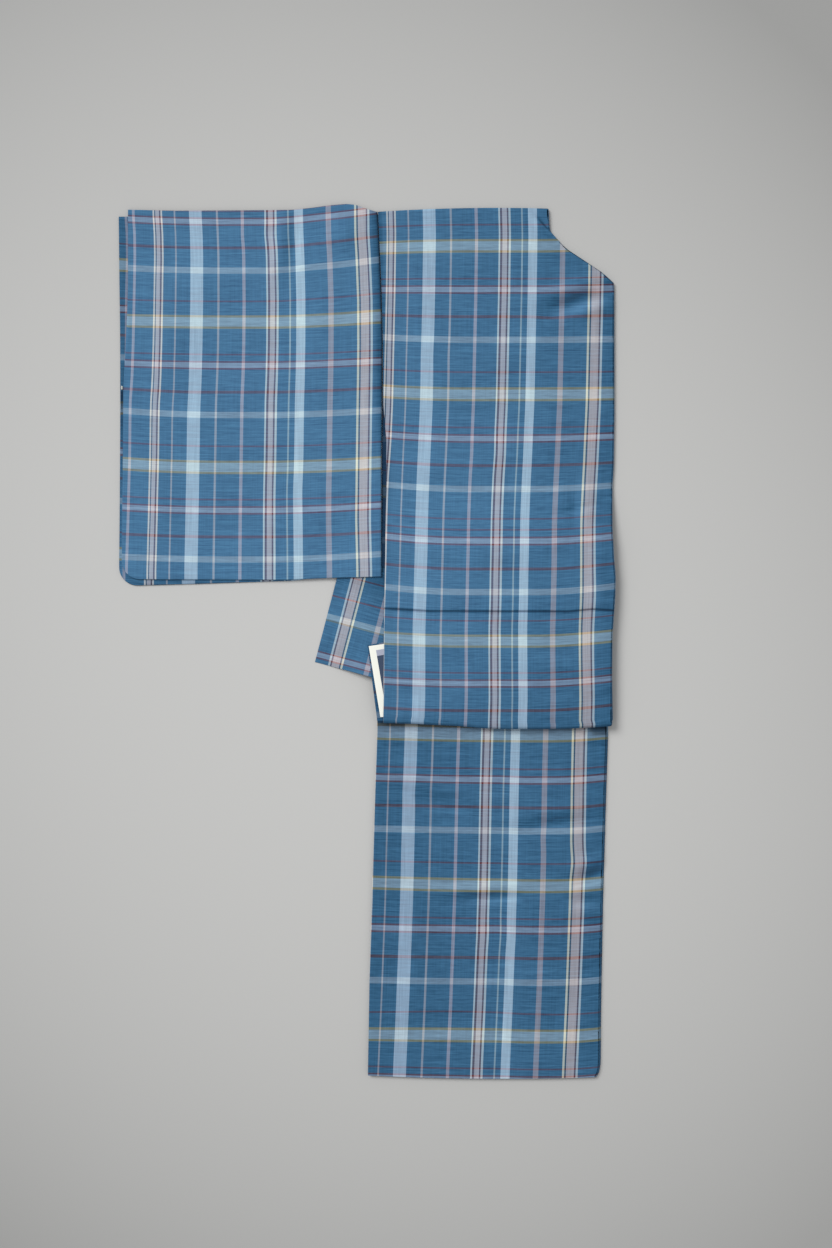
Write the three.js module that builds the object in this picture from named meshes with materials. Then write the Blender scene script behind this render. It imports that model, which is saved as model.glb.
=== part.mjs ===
// A kimono folded in half lengthwise along its back seam, with both sleeves laid out to one side and
// the body turned under once at the waist, lying flat. Millimetres, +Z up, origin at the middle of the
// underside. +Y runs from the hem to the shoulder, -X from the body to the sleeves.
import * as THREE from "three";

// ---- Driving dimensions ---------------------------------------------------------------------------
const CLOTH = 1.0; // a lined panel, pressed
const GAP = 0.3; // between neighbouring pieces
const CORE = 2.4; // the hidden fronts, overlaps and collar, pressed together
const PILE = 2 * CLOTH + 2 * GAP + CORE; // one stretch of the folded body
const HALF = PILE / 2;

const SHOULDER_Y = 576.8; // top of the body
const HEM_Y = -579.9;
const WAIST_FOLD_Y = -109.5; // outside of the fold that faces the hem
const INNER_FOLD_Y = 115.2; // outside of the hidden fold that faces the shoulder
const RAMP = { start: 215, end: 120 }; // where the upper stretch climbs over the hidden fold

const SLEEVE = 2 * CLOTH + 0.4; // two plies with the room between them
const WRIST_MOUTH_Y = 350; // the wrist opening runs from the shoulder fold down to here
const SLEEVE_CORNER = 24; // radius of the rounded lower corner
const UNDER_PAST = 1.7; // how far the lower panel's back seam shows beside the upper one's

// ---- Outlines: x of an edge at each y, or y of an edge at each x ------------------------------------
const ARMHOLE_SEAM = [
  { y: 582, x: 13.6 }, { y: 543, x: 15.5 }, { y: 472, x: 18.6 }, { y: 400, x: 20.5 },
  { y: 330, x: 20.0 }, { y: 242, x: 19.2 }, { y: 60, x: 19.4 },
];
const UPPER_LEFT = [
  { y: 577, x: 14.6 }, { y: 543, x: 15.9 }, { y: 472, x: 19.1 }, { y: 400, x: 21.0 }, { y: 322, x: 21.2 },
  { y: 295, x: 25.0 }, { y: 268, x: 29.7 }, { y: 215, x: 27.4 }, { y: 162, x: 25.7 }, { y: 109, x: 24.4 },
  { y: 41, x: 23.0 }, { y: -107, x: 21.7 },
];
const UPPER_RIGHT = [
  { y: 577, x: 241.5 }, { y: 556, x: 242.3 }, { y: 545, x: 244 }, { y: 533, x: 255.1 }, { y: 522, x: 265.6 },
  { y: 503, x: 294.5 }, { y: 491, x: 312.5 }, { y: 477, x: 327.9 }, { y: 162, x: 328.1 }, { y: 101, x: 330.5 },
  { y: 42, x: 330.5 }, { y: 2, x: 328.1 }, { y: -107, x: 326.1 },
];
const MIDDLE_LEFT = [{ y: 115, x: 18.4 }, { y: -107, x: 21.7 }];
const MIDDLE_RIGHT = [{ y: 115, x: 322.1 }, { y: -107, x: 326.1 }];
const LOWER_LEFT = [
  { y: 115, x: 18.4 }, { y: -125, x: 13.1 }, { y: -211, x: 10.4 }, { y: -291, x: 7.7 }, { y: -424, x: 3.7 },
  { y: -578, x: 1.1 },
];
const LOWER_RIGHT = [
  { y: 115, x: 322.1 }, { y: -125, x: 319.4 }, { y: -211, x: 316.7 }, { y: -344, x: 312.8 },
  { y: -424, x: 311.4 }, { y: -504, x: 310.1 }, { y: -578, x: 309.6 },
];
const SLEEVE_TOP = [
  { x: -331, y: 574.2 }, { x: -103, y: 574.8 }, { x: -76, y: 577.4 }, { x: -47, y: 581.4 }, { x: -26, y: 582.8 },
  { x: -12.8, y: 581.4 }, { x: -3.2, y: 577.7 }, { x: 13.7, y: 571.4 },
];
const SLEEVE_BOTTOM = [
  { x: -303, y: 82.6 }, { x: -111, y: 81.9 }, { x: -47, y: 84.6 }, { x: 19.4, y: 85.9 },
];
const SLEEVE_WRIST = [
  { y: 575, x: -317.7 }, { y: 408, x: -317.7 }, { y: 338, x: -323.9 }, { y: 215, x: -324.9 }, { y: 109, x: -325.9 },
];
const UNDER_TOP = [{ x: -331, y: 565.4 }, { x: 13.7, y: 567 }];
const UNDER_BOTTOM = [
  { x: -303, y: 74.6 }, { x: -220, y: 77 }, { x: -139, y: 79.7 }, { x: -98, y: 81 }, { x: -72, y: 84.5 },
  { x: -50, y: 93 }, { x: 16, y: 98 },
];
const UNDER_WRIST = [
  { y: 566, x: -330.5 }, { y: 461, x: -329.3 }, { y: 340, x: -327.4 }, { y: 145, x: -329.4 }, { y: 75, x: -330.2 },
];

// Where an edge that crosses the body bends out of its straight line: how far its left end, middle and
// right end move along the body, and the length over which the cloth takes that up.
const BOWS = [
  { stretch: "upper", y: SHOULDER_Y, left: -5.4, middle: 0, right: 0, reach: 60 },
  { stretch: "waist", y: WAIST_FOLD_Y, left: 2, middle: -5.5, right: -2, reach: 90 },
  { stretch: "lower", y: HEM_Y, left: 3, middle: -2.6, right: 0, reach: 160 },
];

// Pieces that stick out of the waist at the sleeve side, corners anticlockwise from the lower left, each
// with its height over the piece that carries it.
const SIDE_PIECES = [
  { name: "collar_end", rise: 0, thick: CLOTH, corners: [[-69.5, -27.3], [38.4, -55.8], [38.4, 92.6], [-38.1, 92.6]] },
  { name: "front_edge", rise: 1.3, thick: CLOTH, corners: [[13.7, -105.5], [25, -105.5], [25, -0.7], [0.8, -4.7]] },
  { name: "label", rise: 2.6, thick: CLOTH, corners: [[20.4, -100], [31, -100], [31, -1.9], [2.4, -6]] },
];
const SLOPE = { low: -60, high: 18 }; // the side pieces climb from the floor onto the pile between these x
const TUCKED_IN = { x: 42.4, y: 98 }; // the inner layers stay back from the side pieces below this y

const SILK = new THREE.MeshStandardMaterial({ color: 0x4a7398, roughness: 0.78, metalness: 0 });
const SHADED_SILK = new THREE.MeshStandardMaterial({ color: 0x365c7f, roughness: 0.8, metalness: 0 });
const WHITE_TAPE = new THREE.MeshStandardMaterial({ color: 0xe8e6dc, roughness: 0.85, metalness: 0 });

// ---- Small helpers ----------------------------------------------------------------------------------
const lerp = THREE.MathUtils.lerp;
const smooth = (value, from, to) => THREE.MathUtils.smoothstep(value, Math.min(from, to), Math.max(from, to));

// The value of column `out` where column `by` is at, on straight lines between a table's rows.
function read(table, by, out, at) {
  const rows = [...table].sort((a, b) => a[by] - b[by]);
  if (at <= rows[0][by]) return rows[0][out];
  for (let i = 1; i < rows.length; i++) {
    if (at > rows[i][by]) continue;
    return lerp(rows[i - 1][out], rows[i][out], (at - rows[i - 1][by]) / (rows[i][by] - rows[i - 1][by]));
  }
  return rows.at(-1)[out];
}

// A closed body from rings with the same number of points, joined one to the next, and the triangles
// that close its first and last ring. `faces` lists them in the order of the first ring.
function bodyOfRings(rings, faces) {
  const count = rings[0].length;
  const last = (rings.length - 1) * count;
  const index = [];
  for (let r = 0; r + 1 < rings.length; r++) {
    for (let i = 0; i < count; i++) {
      const a = r * count + i;
      const b = r * count + ((i + 1) % count);
      index.push(a, b, a + count, b, b + count, a + count);
    }
  }
  for (const [a, b, c] of faces) index.push(a, c, b, last + a, last + b, last + c);
  return geometry(rings.flat(), index);
}

function geometry(points, index) {
  const made = new THREE.BufferGeometry();
  made.setAttribute("position", new THREE.Float32BufferAttribute(points.flat(), 3));
  made.setIndex(index);
  made.computeVertexNormals();
  return made;
}

function mesh(name, made, material) {
  const piece = new THREE.Mesh(made, material);
  piece.name = name;
  return piece;
}

// ---- The folded body --------------------------------------------------------------------------------
const BEND = (PILE + GAP) / 2; // from a fold's centre to the middle of the pile
const OUTSIDE = PILE + GAP / 2; // from a fold's centre to its outside
const LEVEL = { lower: HALF, middle: HALF + PILE + GAP, upper: HALF + 2 * (PILE + GAP) };
const STOPS = {
  upper: [577, 570, 556, 545, 533, 522, 503, 491, 477, 440, 400, 350, 322, 295, 268, 240],
  ramp: [215, 203, 191, 179, 167.5, 156, 144, 132, 120],
  upperEnd: [101, 97, 60, 42, 2, -50],
  middle: [-50, 40],
  lower: [60, -50, -125, -211, -291, -344, -424, -504, HEM_Y + 12, HEM_Y],
};
const BEND_STEPS = 8;

// One row of the pile's middle line: where it is, and the direction from the pile's inside to the side
// that shows on the upper stretch.
const row = (stretch, y, z, ny = 0, nz = 1) => ({ stretch, y, z, ny, nz });

function rampRow(y) {
  const height = (at) => lerp(LEVEL.lower, LEVEL.upper, 1 - smooth(at, RAMP.end, RAMP.start));
  const slope = height(y - 0.5) - height(y + 0.5);
  const length = Math.hypot(1, slope);
  return row("upper", y, height(y), slope / length, 1 / length);
}

// A half turn about (y, z), from its top round to its bottom on the side that `side` gives, -1 or +1.
function bendRows(stretch, y, z, side) {
  return Array.from({ length: BEND_STEPS + 1 }, (_, i) => {
    const angle = Math.PI / 2 - (side * Math.PI * i) / BEND_STEPS;
    const [ny, nz] = [Math.cos(angle) * -side, Math.sin(angle) * -side];
    return row(stretch, y + BEND * Math.cos(angle), z + BEND * Math.sin(angle), ny, nz);
  });
}

// From the shoulder over the ramp, round the waist fold, back, round the hidden fold and to the hem.
function pileRows() {
  return [
    ...STOPS.upper.map((y) => row("upper", y, LEVEL.lower)),
    ...STOPS.ramp.map(rampRow),
    ...STOPS.upperEnd.map((y) => row("upper", y, LEVEL.upper)),
    ...bendRows("waist", WAIST_FOLD_Y + OUTSIDE, (LEVEL.upper + LEVEL.middle) / 2, -1),
    ...STOPS.middle.map((y) => row("middle", y, LEVEL.middle, 0, -1)),
    ...bendRows("inner", INNER_FOLD_Y - OUTSIDE, (LEVEL.middle + LEVEL.lower) / 2, 1),
    ...STOPS.lower.map((y) => row("lower", y, LEVEL.lower)),
  ];
}

// Left and right edge of a panel at a row. The inner layers stay clear of the pieces at the waist, and
// `past` is how far the right edge shows beyond the others on the lower stretch.
function edges({ stretch, y }, inner, past) {
  const table = { upper: [UPPER_LEFT, UPPER_RIGHT], waist: [UPPER_LEFT, UPPER_RIGHT],
    middle: [MIDDLE_LEFT, MIDDLE_RIGHT], inner: [MIDDLE_LEFT, MIDDLE_RIGHT], lower: [LOWER_LEFT, LOWER_RIGHT] };
  const [left, straight] = table[stretch].map((rows) => read(rows, "y", "x", y));
  const right = straight + (stretch === "lower" ? past * smooth(-y, -INNER_FOLD_Y, 0) : 0);
  if (!inner || !["upper", "waist"].includes(stretch)) return [left, right];
  const seam = read(ARMHOLE_SEAM, "y", "x", y) + 2 * GAP;
  return [y < TUCKED_IN.y ? TUCKED_IN.x : seam, right];
}

function bow({ stretch, y }, u) {
  return BOWS.reduce((sum, { stretch: at, y: from, left, middle, right, reach }) => {
    const near = at === "waist" ? ["upper", "waist", "middle"].includes(stretch) : at === stretch;
    const share = near ? 1 - smooth(Math.abs(y - from), 0, reach) : 0;
    const shape = left * (1 - u) * (1 - 2 * u) + middle * 4 * u * (1 - u) + right * u * (2 * u - 1);
    return sum + share * shape;
  }, 0);
}

// A section is a ring of points, anticlockwise seen from the hem: u from the left edge to the right one,
// dx past that, n from the middle of the pile. Carried along the pile it makes one layer.
function layer(section, { inner = false, past = 0 } = {}) {
  const rings = pileRows().map((at) => {
    const [left, right] = edges(at, inner, past);
    return section.map(([u, dx, n]) => [
      lerp(left, right, u) + dx,
      at.y + n * at.ny + bow(at, u),
      at.z + n * at.nz,
    ]);
  });
  const flat = section.map(([u, dx, n]) => new THREE.Vector2(u * 300 + dx, n));
  return bodyOfRings(rings, THREE.ShapeUtils.triangulateShape(flat, []));
}

const ACROSS = [0.2, 0.4, 0.6, 0.8];
const along = (n, from = ACROSS) => from.map((u) => [u, 0, n]);
const back = (n) => along(n, [...ACROSS].reverse());

// The back panel that shows. At the back seam it turns down round the layers inside.
function topSection() {
  const [outer, inner] = [HALF, HALF - CLOTH];
  const turn = [Math.PI / 6, Math.PI / 3];
  const down = -CORE / 2;
  return [
    [0, 0.35, inner], ...along(inner), [1, -outer, inner],
    ...turn.map((a) => [1, -outer + inner * Math.sin(a), inner * Math.cos(a)]),
    [1, -CLOTH, 0], [1, -CLOTH, down], [1, 0, down], [1, 0, 0],
    ...turn.reverse().map((a) => [1, -outer + outer * Math.sin(a), outer * Math.cos(a)]),
    [1, -outer, outer], ...back(outer), [0, 0.35, outer], [0, 0, outer - CLOTH / 2],
  ];
}

// The hidden layers: one solid whose two long edges show three lips.
function coreSection() {
  const lip = CORE / 3;
  const right = -CLOTH - GAP;
  const levels = [-1, 0, 1].map((i) => i * lip);
  const rightLips = levels.flatMap((n, i) => [
    [1, right - 1.4, n - lip / 2], [1, right - [0.4, 0, 0.6][i], n],
  ]);
  const leftLips = [...levels].reverse().flatMap((n, i) => [
    [0, 1.6, n + lip / 2], [0, [0, 0.7, 0.2][i], n],
  ]);
  return [...along(-CORE / 2), ...rightLips, [1, right - 1.4, CORE / 2], ...back(CORE / 2), ...leftLips,
    [0, 1.6, -CORE / 2]];
}

// The other back panel, underneath.
function bottomSection() {
  const [outer, inner] = [-HALF, -HALF + CLOTH];
  return [
    [0, 0.35, outer], ...along(outer), [1, -0.4, outer], [1, 0, (outer + inner) / 2],
    [1, -0.4, inner], ...back(inner), [0, 0.35, inner], [0, 0, (outer + inner) / 2],
  ];
}

// ---- The sleeves ------------------------------------------------------------------------------------
const SLEEVE_ACROSS = [0, 0.006, 0.02, 0.045, 0.08, 0.2, 0.35, 0.5, 0.62, 0.72, 0.8, 0.87, 0.91, 0.94, 0.97, 1];
const SLEEVE_DOWN = [0, 0.1, 0.2, 0.3, 0.37, 0.44, 0.52, 0.6, 0.7, 0.77, 0.84, 0.92, 1];
const RIM = CLOTH + 0.4; // how far the room inside stays back from the fold and the seam

// How far the side pieces stand above the floor at x.
const pileSlope = (x) => (LEVEL.upper - HALF) * smooth(x, SLOPE.low, SLOPE.high);

// The upper sleeve's free lower end lies on the side pieces, so it climbs towards the waist.
const upperSleeveBase = (x, y) =>
  SLEEVE + GAP + (LEVEL.upper - HALF + CLOTH - SLEEVE) * smooth(x, SLOPE.low, SLOPE.high) * (1 - smooth(y, 110, 235));

function bottomEdge(table, wrist, x) {
  const past = Math.max(0, wrist + SLEEVE_CORNER - x);
  const rise = SLEEVE_CORNER - Math.sqrt(Math.max(0, SLEEVE_CORNER ** 2 - Math.min(past, SLEEVE_CORNER) ** 2));
  return read(table, "x", "y", x) + rise;
}

// A flattened tube: two plies that are one piece at the shoulder fold and the lower seam. Its end at the
// body is open, and its wrist end is open above the mouth's lower end and sewn up below it.
function sleeve({ top, bottom, wrist, base, seamGap }) {
  const wristX = read(wrist, "y", "x", 100);
  const rings = { outer: [], inner: [] };
  for (const across of SLEEVE_ACROSS) {
    const plan = lerp(wristX, 16, across);
    const [high, low] = [read(top, "x", "y", plan), bottomEdge(bottom, wristX, plan)];
    const place = (y, ply) => {
      const x = lerp(read(wrist, "y", "x", y), read(ARMHOLE_SEAM, "y", "x", y) - seamGap, across);
      return [x, y, base(x, y) + ply];
    };
    const ring = (from, to, under, over) => [
      place(from, SLEEVE / 2),
      ...SLEEVE_DOWN.slice(1, -1).map((v) => place(lerp(from, to, v), over)),
      place(to, SLEEVE / 2),
      ...SLEEVE_DOWN.slice(1, -1).reverse().map((v) => place(lerp(from, to, v), under)),
    ];
    const mouth = across === 0 ? Math.max(low + RIM, WRIST_MOUTH_Y) : low + RIM;
    rings.outer.push(ring(high, low, 0, SLEEVE));
    rings.inner.push(ring(high - RIM, mouth, CLOTH, SLEEVE - CLOTH));
  }
  return tube(rings.outer, rings.inner);
}

// The wall between two sets of rings, closed at both ends by the strip between them.
function tube(outer, inner) {
  const count = outer[0].length;
  const start = outer.length * count;
  const last = (outer.length - 1) * count;
  const index = [];
  const quad = (a, b, c, d) => index.push(a, b, c, a, c, d);
  for (let i = 0; i < count; i++) {
    const j = (i + 1) % count;
    for (let r = 0; r < last; r += count) {
      quad(r + i, r + j, r + count + j, r + count + i);
      quad(start + r + j, start + r + i, start + r + count + i, start + r + count + j);
    }
    quad(j, i, start + i, start + j);
    quad(last + i, last + j, start + last + j, start + last + i);
  }
  return geometry([...outer.flat(), ...inner.flat()], index);
}

// ---- The pieces at the waist ------------------------------------------------------------------------
const SIDE_STEPS = 12;

// A flat piece with straight edges that follows the slope from the floor onto the pile. Each ring is its
// section across, at one place between its left and its right edge.
function sidePiece({ rise, thick, corners }) {
  const [[lx, ly], [rx, ry], [tx, ty], [sx, sy]] = corners;
  const rings = Array.from({ length: SIDE_STEPS + 1 }, (_, i) => {
    const u = i / SIDE_STEPS;
    const low = [lerp(lx, rx, u), lerp(ly, ry, u)];
    const high = [lerp(sx, tx, u), lerp(sy, ty, u)];
    const edge = [0, 0.25, 0.5, 0.75, 1].map((v) => [lerp(low[0], high[0], v), lerp(low[1], high[1], v)]);
    const face = (lift) => edge.map(([x, y]) => [x, y, pileSlope(x) + rise + lift]);
    return [...face(0), ...face(thick).reverse()];
  });
  const strip = [0, 1, 2, 3].flatMap((i) => [[i, i + 1, 8 - i], [i, 8 - i, 9 - i]]);
  return bodyOfRings(rings, strip);
}

// ---- Assembly ---------------------------------------------------------------------------------------
function kimono() {
  const group = new THREE.Group();
  group.add(mesh("body_left", layer(topSection()), SILK));
  group.add(mesh("core", layer(coreSection(), { inner: true }), SHADED_SILK));
  group.add(mesh("body_right", layer(bottomSection(), { inner: true, past: UNDER_PAST }), SHADED_SILK));
  const upper = { top: SLEEVE_TOP, bottom: SLEEVE_BOTTOM, wrist: SLEEVE_WRIST, base: upperSleeveBase, seamGap: GAP };
  const under = { top: UNDER_TOP, bottom: UNDER_BOTTOM, wrist: UNDER_WRIST, base: () => 0, seamGap: 1 };
  group.add(mesh("sleeve_upper", sleeve(upper), SILK));
  group.add(mesh("sleeve_lower", sleeve(under), SHADED_SILK));
  for (const piece of SIDE_PIECES) {
    group.add(mesh(piece.name, sidePiece(piece), piece.name === "label" ? WHITE_TAPE : SILK));
  }
  return group;
}

export default kimono();
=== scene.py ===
"""Dresses a kimono that lies folded in half lengthwise, its sleeves laid out to one side and its body
turned under once at the waist.

Every panel is a closed cloth wall worked out with numpy: a middle surface, its direction out, and a
thickness that runs out round at the edges. The woven check is drawn by a material from each piece's own
UV map, which holds where a point lies on the bolt: millimetres across it (the warp stripes) and along it
(the weft bands), both over 1000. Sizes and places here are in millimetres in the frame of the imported
model: +X from the sleeves to the back seam, +Y from the hem to the shoulder, +Z up.
"""

import logging
from dataclasses import dataclass, field
from enum import Enum
from typing import Callable, Sequence

import bpy
import numpy as np
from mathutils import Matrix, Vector


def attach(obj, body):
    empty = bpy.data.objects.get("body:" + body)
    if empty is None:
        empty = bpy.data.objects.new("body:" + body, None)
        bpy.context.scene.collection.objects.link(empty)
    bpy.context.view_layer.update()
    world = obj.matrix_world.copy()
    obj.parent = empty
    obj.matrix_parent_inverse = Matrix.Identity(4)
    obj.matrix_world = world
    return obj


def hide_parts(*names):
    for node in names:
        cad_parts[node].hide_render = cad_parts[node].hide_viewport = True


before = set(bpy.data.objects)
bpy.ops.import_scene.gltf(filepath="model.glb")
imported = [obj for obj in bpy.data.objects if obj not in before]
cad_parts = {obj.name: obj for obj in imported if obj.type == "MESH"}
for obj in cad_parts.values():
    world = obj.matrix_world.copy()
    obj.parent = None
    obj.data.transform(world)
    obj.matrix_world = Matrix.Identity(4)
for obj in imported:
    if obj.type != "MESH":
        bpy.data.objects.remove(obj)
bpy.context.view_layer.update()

LOG = logging.getLogger("kimono")
MM = 0.001
Colour = tuple[float, float, float]

# ---- Thicknesses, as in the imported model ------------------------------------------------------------
CLOTH = 1.0
GAP = 0.3
CORE = 2.4
PILE = 2 * CLOTH + 2 * GAP + CORE
HALF = PILE / 2
SLEEVE = 2 * CLOTH + 0.4
DEEPEST = 0.95 * CLOTH

# ---- Where the body turns ---------------------------------------------------------------------------
SHOULDER_Y = 577.0
HEM_Y = -579.9
WAIST_FOLD_Y = -109.5
INNER_FOLD_Y = 115.2
RAMP_START_Y, RAMP_END_Y = 215.0, 120.0
TUCK_Y = 41.3
TUCK_ABOVE, TUCK_BELOW = 1.3, 2.6
HIDDEN_TUCK_Y = 156.5
LEVEL_LOWER, LEVEL_MIDDLE, LEVEL_UPPER = HALF, HALF + PILE + GAP, HALF + 2 * (PILE + GAP)

# ---- The bolt ---------------------------------------------------------------------------------------
WEFT_REPEAT = 192.7


def smooth(value: np.ndarray, start: float, end: float) -> np.ndarray:
    """Ease from 0 at start to 1 at end: 3t^2 - 2t^3 of the share t of the way.

    Args:
        value: Where to read it.
        start: Where it is 0.
        end: Where it is 1, on either side of start.

    Returns:
        The eased share.
    """
    t = np.clip((np.asarray(value, float) - start) / (end - start), 0, 1)
    return t * t * (3 - 2 * t)


@dataclass(frozen=True)
class Table:
    """Values read from (place, value) rows: straight lines between them, with the corners rounded by a
    mean over a width, weighted by a raised cosine."""

    width: float
    rows: Sequence[tuple[float, float]]

    def straight(self, place: np.ndarray | float) -> np.ndarray:
        """The value at each place, on the straight lines."""
        places, values = np.array(sorted(self.rows)).T
        return np.interp(place, places, values)

    def at(self, place: np.ndarray) -> np.ndarray:
        """Read the table.

        Args:
            place: The places to read.

        Returns:
            The value at each place.
        """
        if not self.width:
            return self.straight(place)
        offsets = np.linspace(-0.5, 0.5, 9)
        weights = 1 + np.cos(2 * np.pi * offsets)
        read = [w * self.straight(place + o * self.width) for o, w in zip(offsets, weights)]
        return sum(read) / weights.sum()


@dataclass(frozen=True)
class Patch:
    """An amount that comes in across x, from a place where it is off to one where it is full, and along y
    likewise."""

    amount: float
    x_off: float
    x_full: float
    y_off: float
    y_full: float

    def at(self, x: np.ndarray, y: np.ndarray) -> np.ndarray:
        """The amount at each (x, y)."""
        return self.amount * smooth(x, self.x_off, self.x_full) * smooth(y, self.y_off, self.y_full)


def bell(value: np.ndarray, width: float) -> np.ndarray:
    """A bell curve: exp(-(value / width)^2)."""
    return np.exp(-((value / width) ** 2))


# ---- Meshes -----------------------------------------------------------------------------------------
def grid_faces(rows: int, columns: int, start: int, flip: bool, wrap: bool) -> np.ndarray:
    """The quads of a grid whose point (r, c) is number start + r * columns + c.

    Args:
        rows: Rows of points.
        columns: Columns of points.
        start: Number of the first point.
        flip: Whether the quads face the other way.
        wrap: Whether the last column joins the first.

    Returns:
        An array of quads.
    """
    r, c = np.meshgrid(np.arange(rows - 1), np.arange(columns if wrap else columns - 1), indexing="ij")
    after = (c + 1) % columns
    row, next_row = r * columns, (r + 1) * columns
    quads = np.stack([row + c, next_row + c, next_row + after, row + after], -1).reshape(-1, 4) + start
    return quads[:, ::-1] if flip else quads


def rim_faces(outer: np.ndarray, inner: np.ndarray, flip: bool) -> np.ndarray:
    """The strip of quads between two borders with the same number of points."""
    quads = np.stack([outer[:-1], outer[1:], inner[1:], inner[:-1]], -1)
    return quads[:, ::-1] if flip else quads


def make_object(name: str, points: np.ndarray, quads: np.ndarray, uv: np.ndarray | None,
                painted_light: np.ndarray | None) -> bpy.types.Object:
    """Put arrays into a new smooth mesh object at the origin.

    Args:
        name: The piece's name.
        points: Points in millimetres, one a row.
        quads: Point numbers of each face.
        uv: Each point's place on the bolt in millimetres, or None.
        painted_light: Each point's painted light and shade, as a brightness that is 1 where the cloth is as
            woven, or None.

    Returns:
        The object, linked to the scene.
    """
    mesh = bpy.data.meshes.new(name)
    mesh.vertices.add(len(points))
    mesh.vertices.foreach_set("co", (points * MM).astype(np.float32).ravel())
    mesh.loops.add(quads.size)
    mesh.loops.foreach_set("vertex_index", quads.astype(np.int32).ravel())
    mesh.polygons.add(len(quads))
    mesh.polygons.foreach_set("loop_start", np.arange(0, quads.size, quads.shape[1], dtype=np.int32))
    mesh.polygons.foreach_set("use_smooth", np.ones(len(quads), bool))
    mesh.update(calc_edges=True)
    mesh.validate()
    if uv is not None:
        layer = mesh.uv_layers.new(name="bolt")
        layer.data.foreach_set("uv", (uv[quads.ravel()] * MM).astype(np.float32).ravel())
    if painted_light is not None:
        attribute = mesh.attributes.new("painted_light", "FLOAT", "POINT")
        attribute.data.foreach_set("value", painted_light.astype(np.float32))
    made = bpy.data.objects.new(name, mesh)
    bpy.context.scene.collection.objects.link(made)
    return made


@dataclass(frozen=True)
class Cloth:
    """What a piece of cloth is: its material, the solid that it stands for, the record's slot, and the size
    that it was cut to, in millimetres."""

    material: bpy.types.Material
    node: str
    slot: str
    flat: tuple[float, float]
    held: str = "folded"
    area: float | None = None

    def dress(self, piece: bpy.types.Object) -> bpy.types.Object:
        """Give a piece its material, hang it from the root and hide the solid that it stands for.

        Args:
            piece: The piece.

        Returns:
            The same piece.
        """
        piece.data.materials.append(self.material)
        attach(piece, "root")
        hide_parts(self.node)
        flat = (self.flat[0] * MM, self.flat[1] * MM)
        if self.area is None:
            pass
        else:
            self.area * MM * MM
        return piece


# Where the rows beside a free edge stand, as shares of the cloth's half thickness, and the least share
# of that thickness that an edge keeps.
ROUND_EDGE = np.array([0, 0.13, 0.45, 1])
EDGE_LEAST = 0.02


@dataclass
class Wall:
    """A closed cloth wall about a middle surface.

    A point of either face is the middle surface plus or minus half the thickness along the direction
    out, times sqrt(1 - (1 - d)^2), where d is the distance to the nearest free edge over half the
    thickness, at most 1, so that an edge is a half circle.
    """

    middle: np.ndarray
    out: np.ndarray
    thickness: float
    uv: np.ndarray
    edge: np.ndarray
    # Each point's painted light and shade, as a brightness.
    painted_light: np.ndarray

    def build(self, name: str) -> bpy.types.Object:
        """Make the wall's mesh object.

        Args:
            name: The piece's name.

        Returns:
            The object.
        """
        rows, columns = self.middle.shape[:2]
        half = self.thickness / 2
        share = 1 - np.clip(self.edge / half, 0, 1)
        lift = (half * np.sqrt(np.maximum(1 - share**2, EDGE_LEAST)))[..., None] * self.out
        faces = [self.middle + lift, self.middle - lift]
        points = np.concatenate([f.reshape(-1, 3) for f in faces])
        number = np.arange(rows * columns).reshape(rows, columns)
        under = number + rows * columns
        quads = np.concatenate([
            grid_faces(rows, columns, 0, False, False),
            grid_faces(rows, columns, rows * columns, True, False),
            rim_faces(number[0], under[0], False),
            rim_faces(number[-1], under[-1], True),
            rim_faces(number[:, 0], under[:, 0], True),
            rim_faces(number[:, -1], under[:, -1], False),
        ])
        return make_object(name, points, quads, np.tile(self.uv.reshape(-1, 2), (2, 1)),
                           np.tile(self.painted_light.ravel(), 2))


def edge_stops(start: float, end: float, count: int, half: float) -> np.ndarray:
    """Places from start to end, evenly spaced but for the close ones that round each end.

    Args:
        start: First place.
        end: Last place.
        count: How many even places.
        half: Half the cloth's thickness.

    Returns:
        The places in order.
    """
    way = np.sign(end - start)
    near = ROUND_EDGE * half * way
    inside = np.linspace(start + near[-1] + way, end - near[-1] - way, count)
    return np.concatenate([start + near, inside, (end - near)[::-1]])


@dataclass(frozen=True)
class Crease:
    """A soft ridge (height over 0) or trough: height * exp(-(a / length)^2 - (b / width)^2), with a along
    its own direction and b across it."""

    x: float
    y: float
    length: float
    width: float
    degrees: float
    height: float

    def lift(self, x: np.ndarray, y: np.ndarray) -> np.ndarray:
        """How far it moves the cloth out.

        Args:
            x: Each point's x.
            y: Each point's y.

        Returns:
            The height at each point.
        """
        turn = np.radians(self.degrees)
        dx, dy = x - self.x, y - self.y
        a = dx * np.cos(turn) + dy * np.sin(turn)
        b = dy * np.cos(turn) - dx * np.sin(turn)
        return self.height * np.exp(-((a / self.length) ** 2) - (b / self.width) ** 2)


def lifts(creases: Sequence[Crease], x: np.ndarray, y: np.ndarray) -> np.ndarray:
    """The sum of the creases' lifts at each (x, y)."""
    return sum((c.lift(x, y) for c in creases), np.zeros(np.broadcast(x, y).shape))


def relief(creases: Sequence[Crease], x: np.ndarray, y: np.ndarray) -> np.ndarray:
    """The sum of the creases' lifts, no deeper than the cloth's own thickness."""
    return np.maximum(lifts(creases, x, y), -DEEPEST)


def window_side(creases: Sequence[Crease], x: np.ndarray, y: np.ndarray, gain: float) -> np.ndarray:
    """Painted light where a point faces the upper left, where the light is, and painted shade where it faces
    away: 1 plus a gain times the rise of the creases over the last millimetre from there."""
    return 1 + gain * (lifts(creases, x, y) - lifts(creases, x - 1, y + 1))


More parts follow.
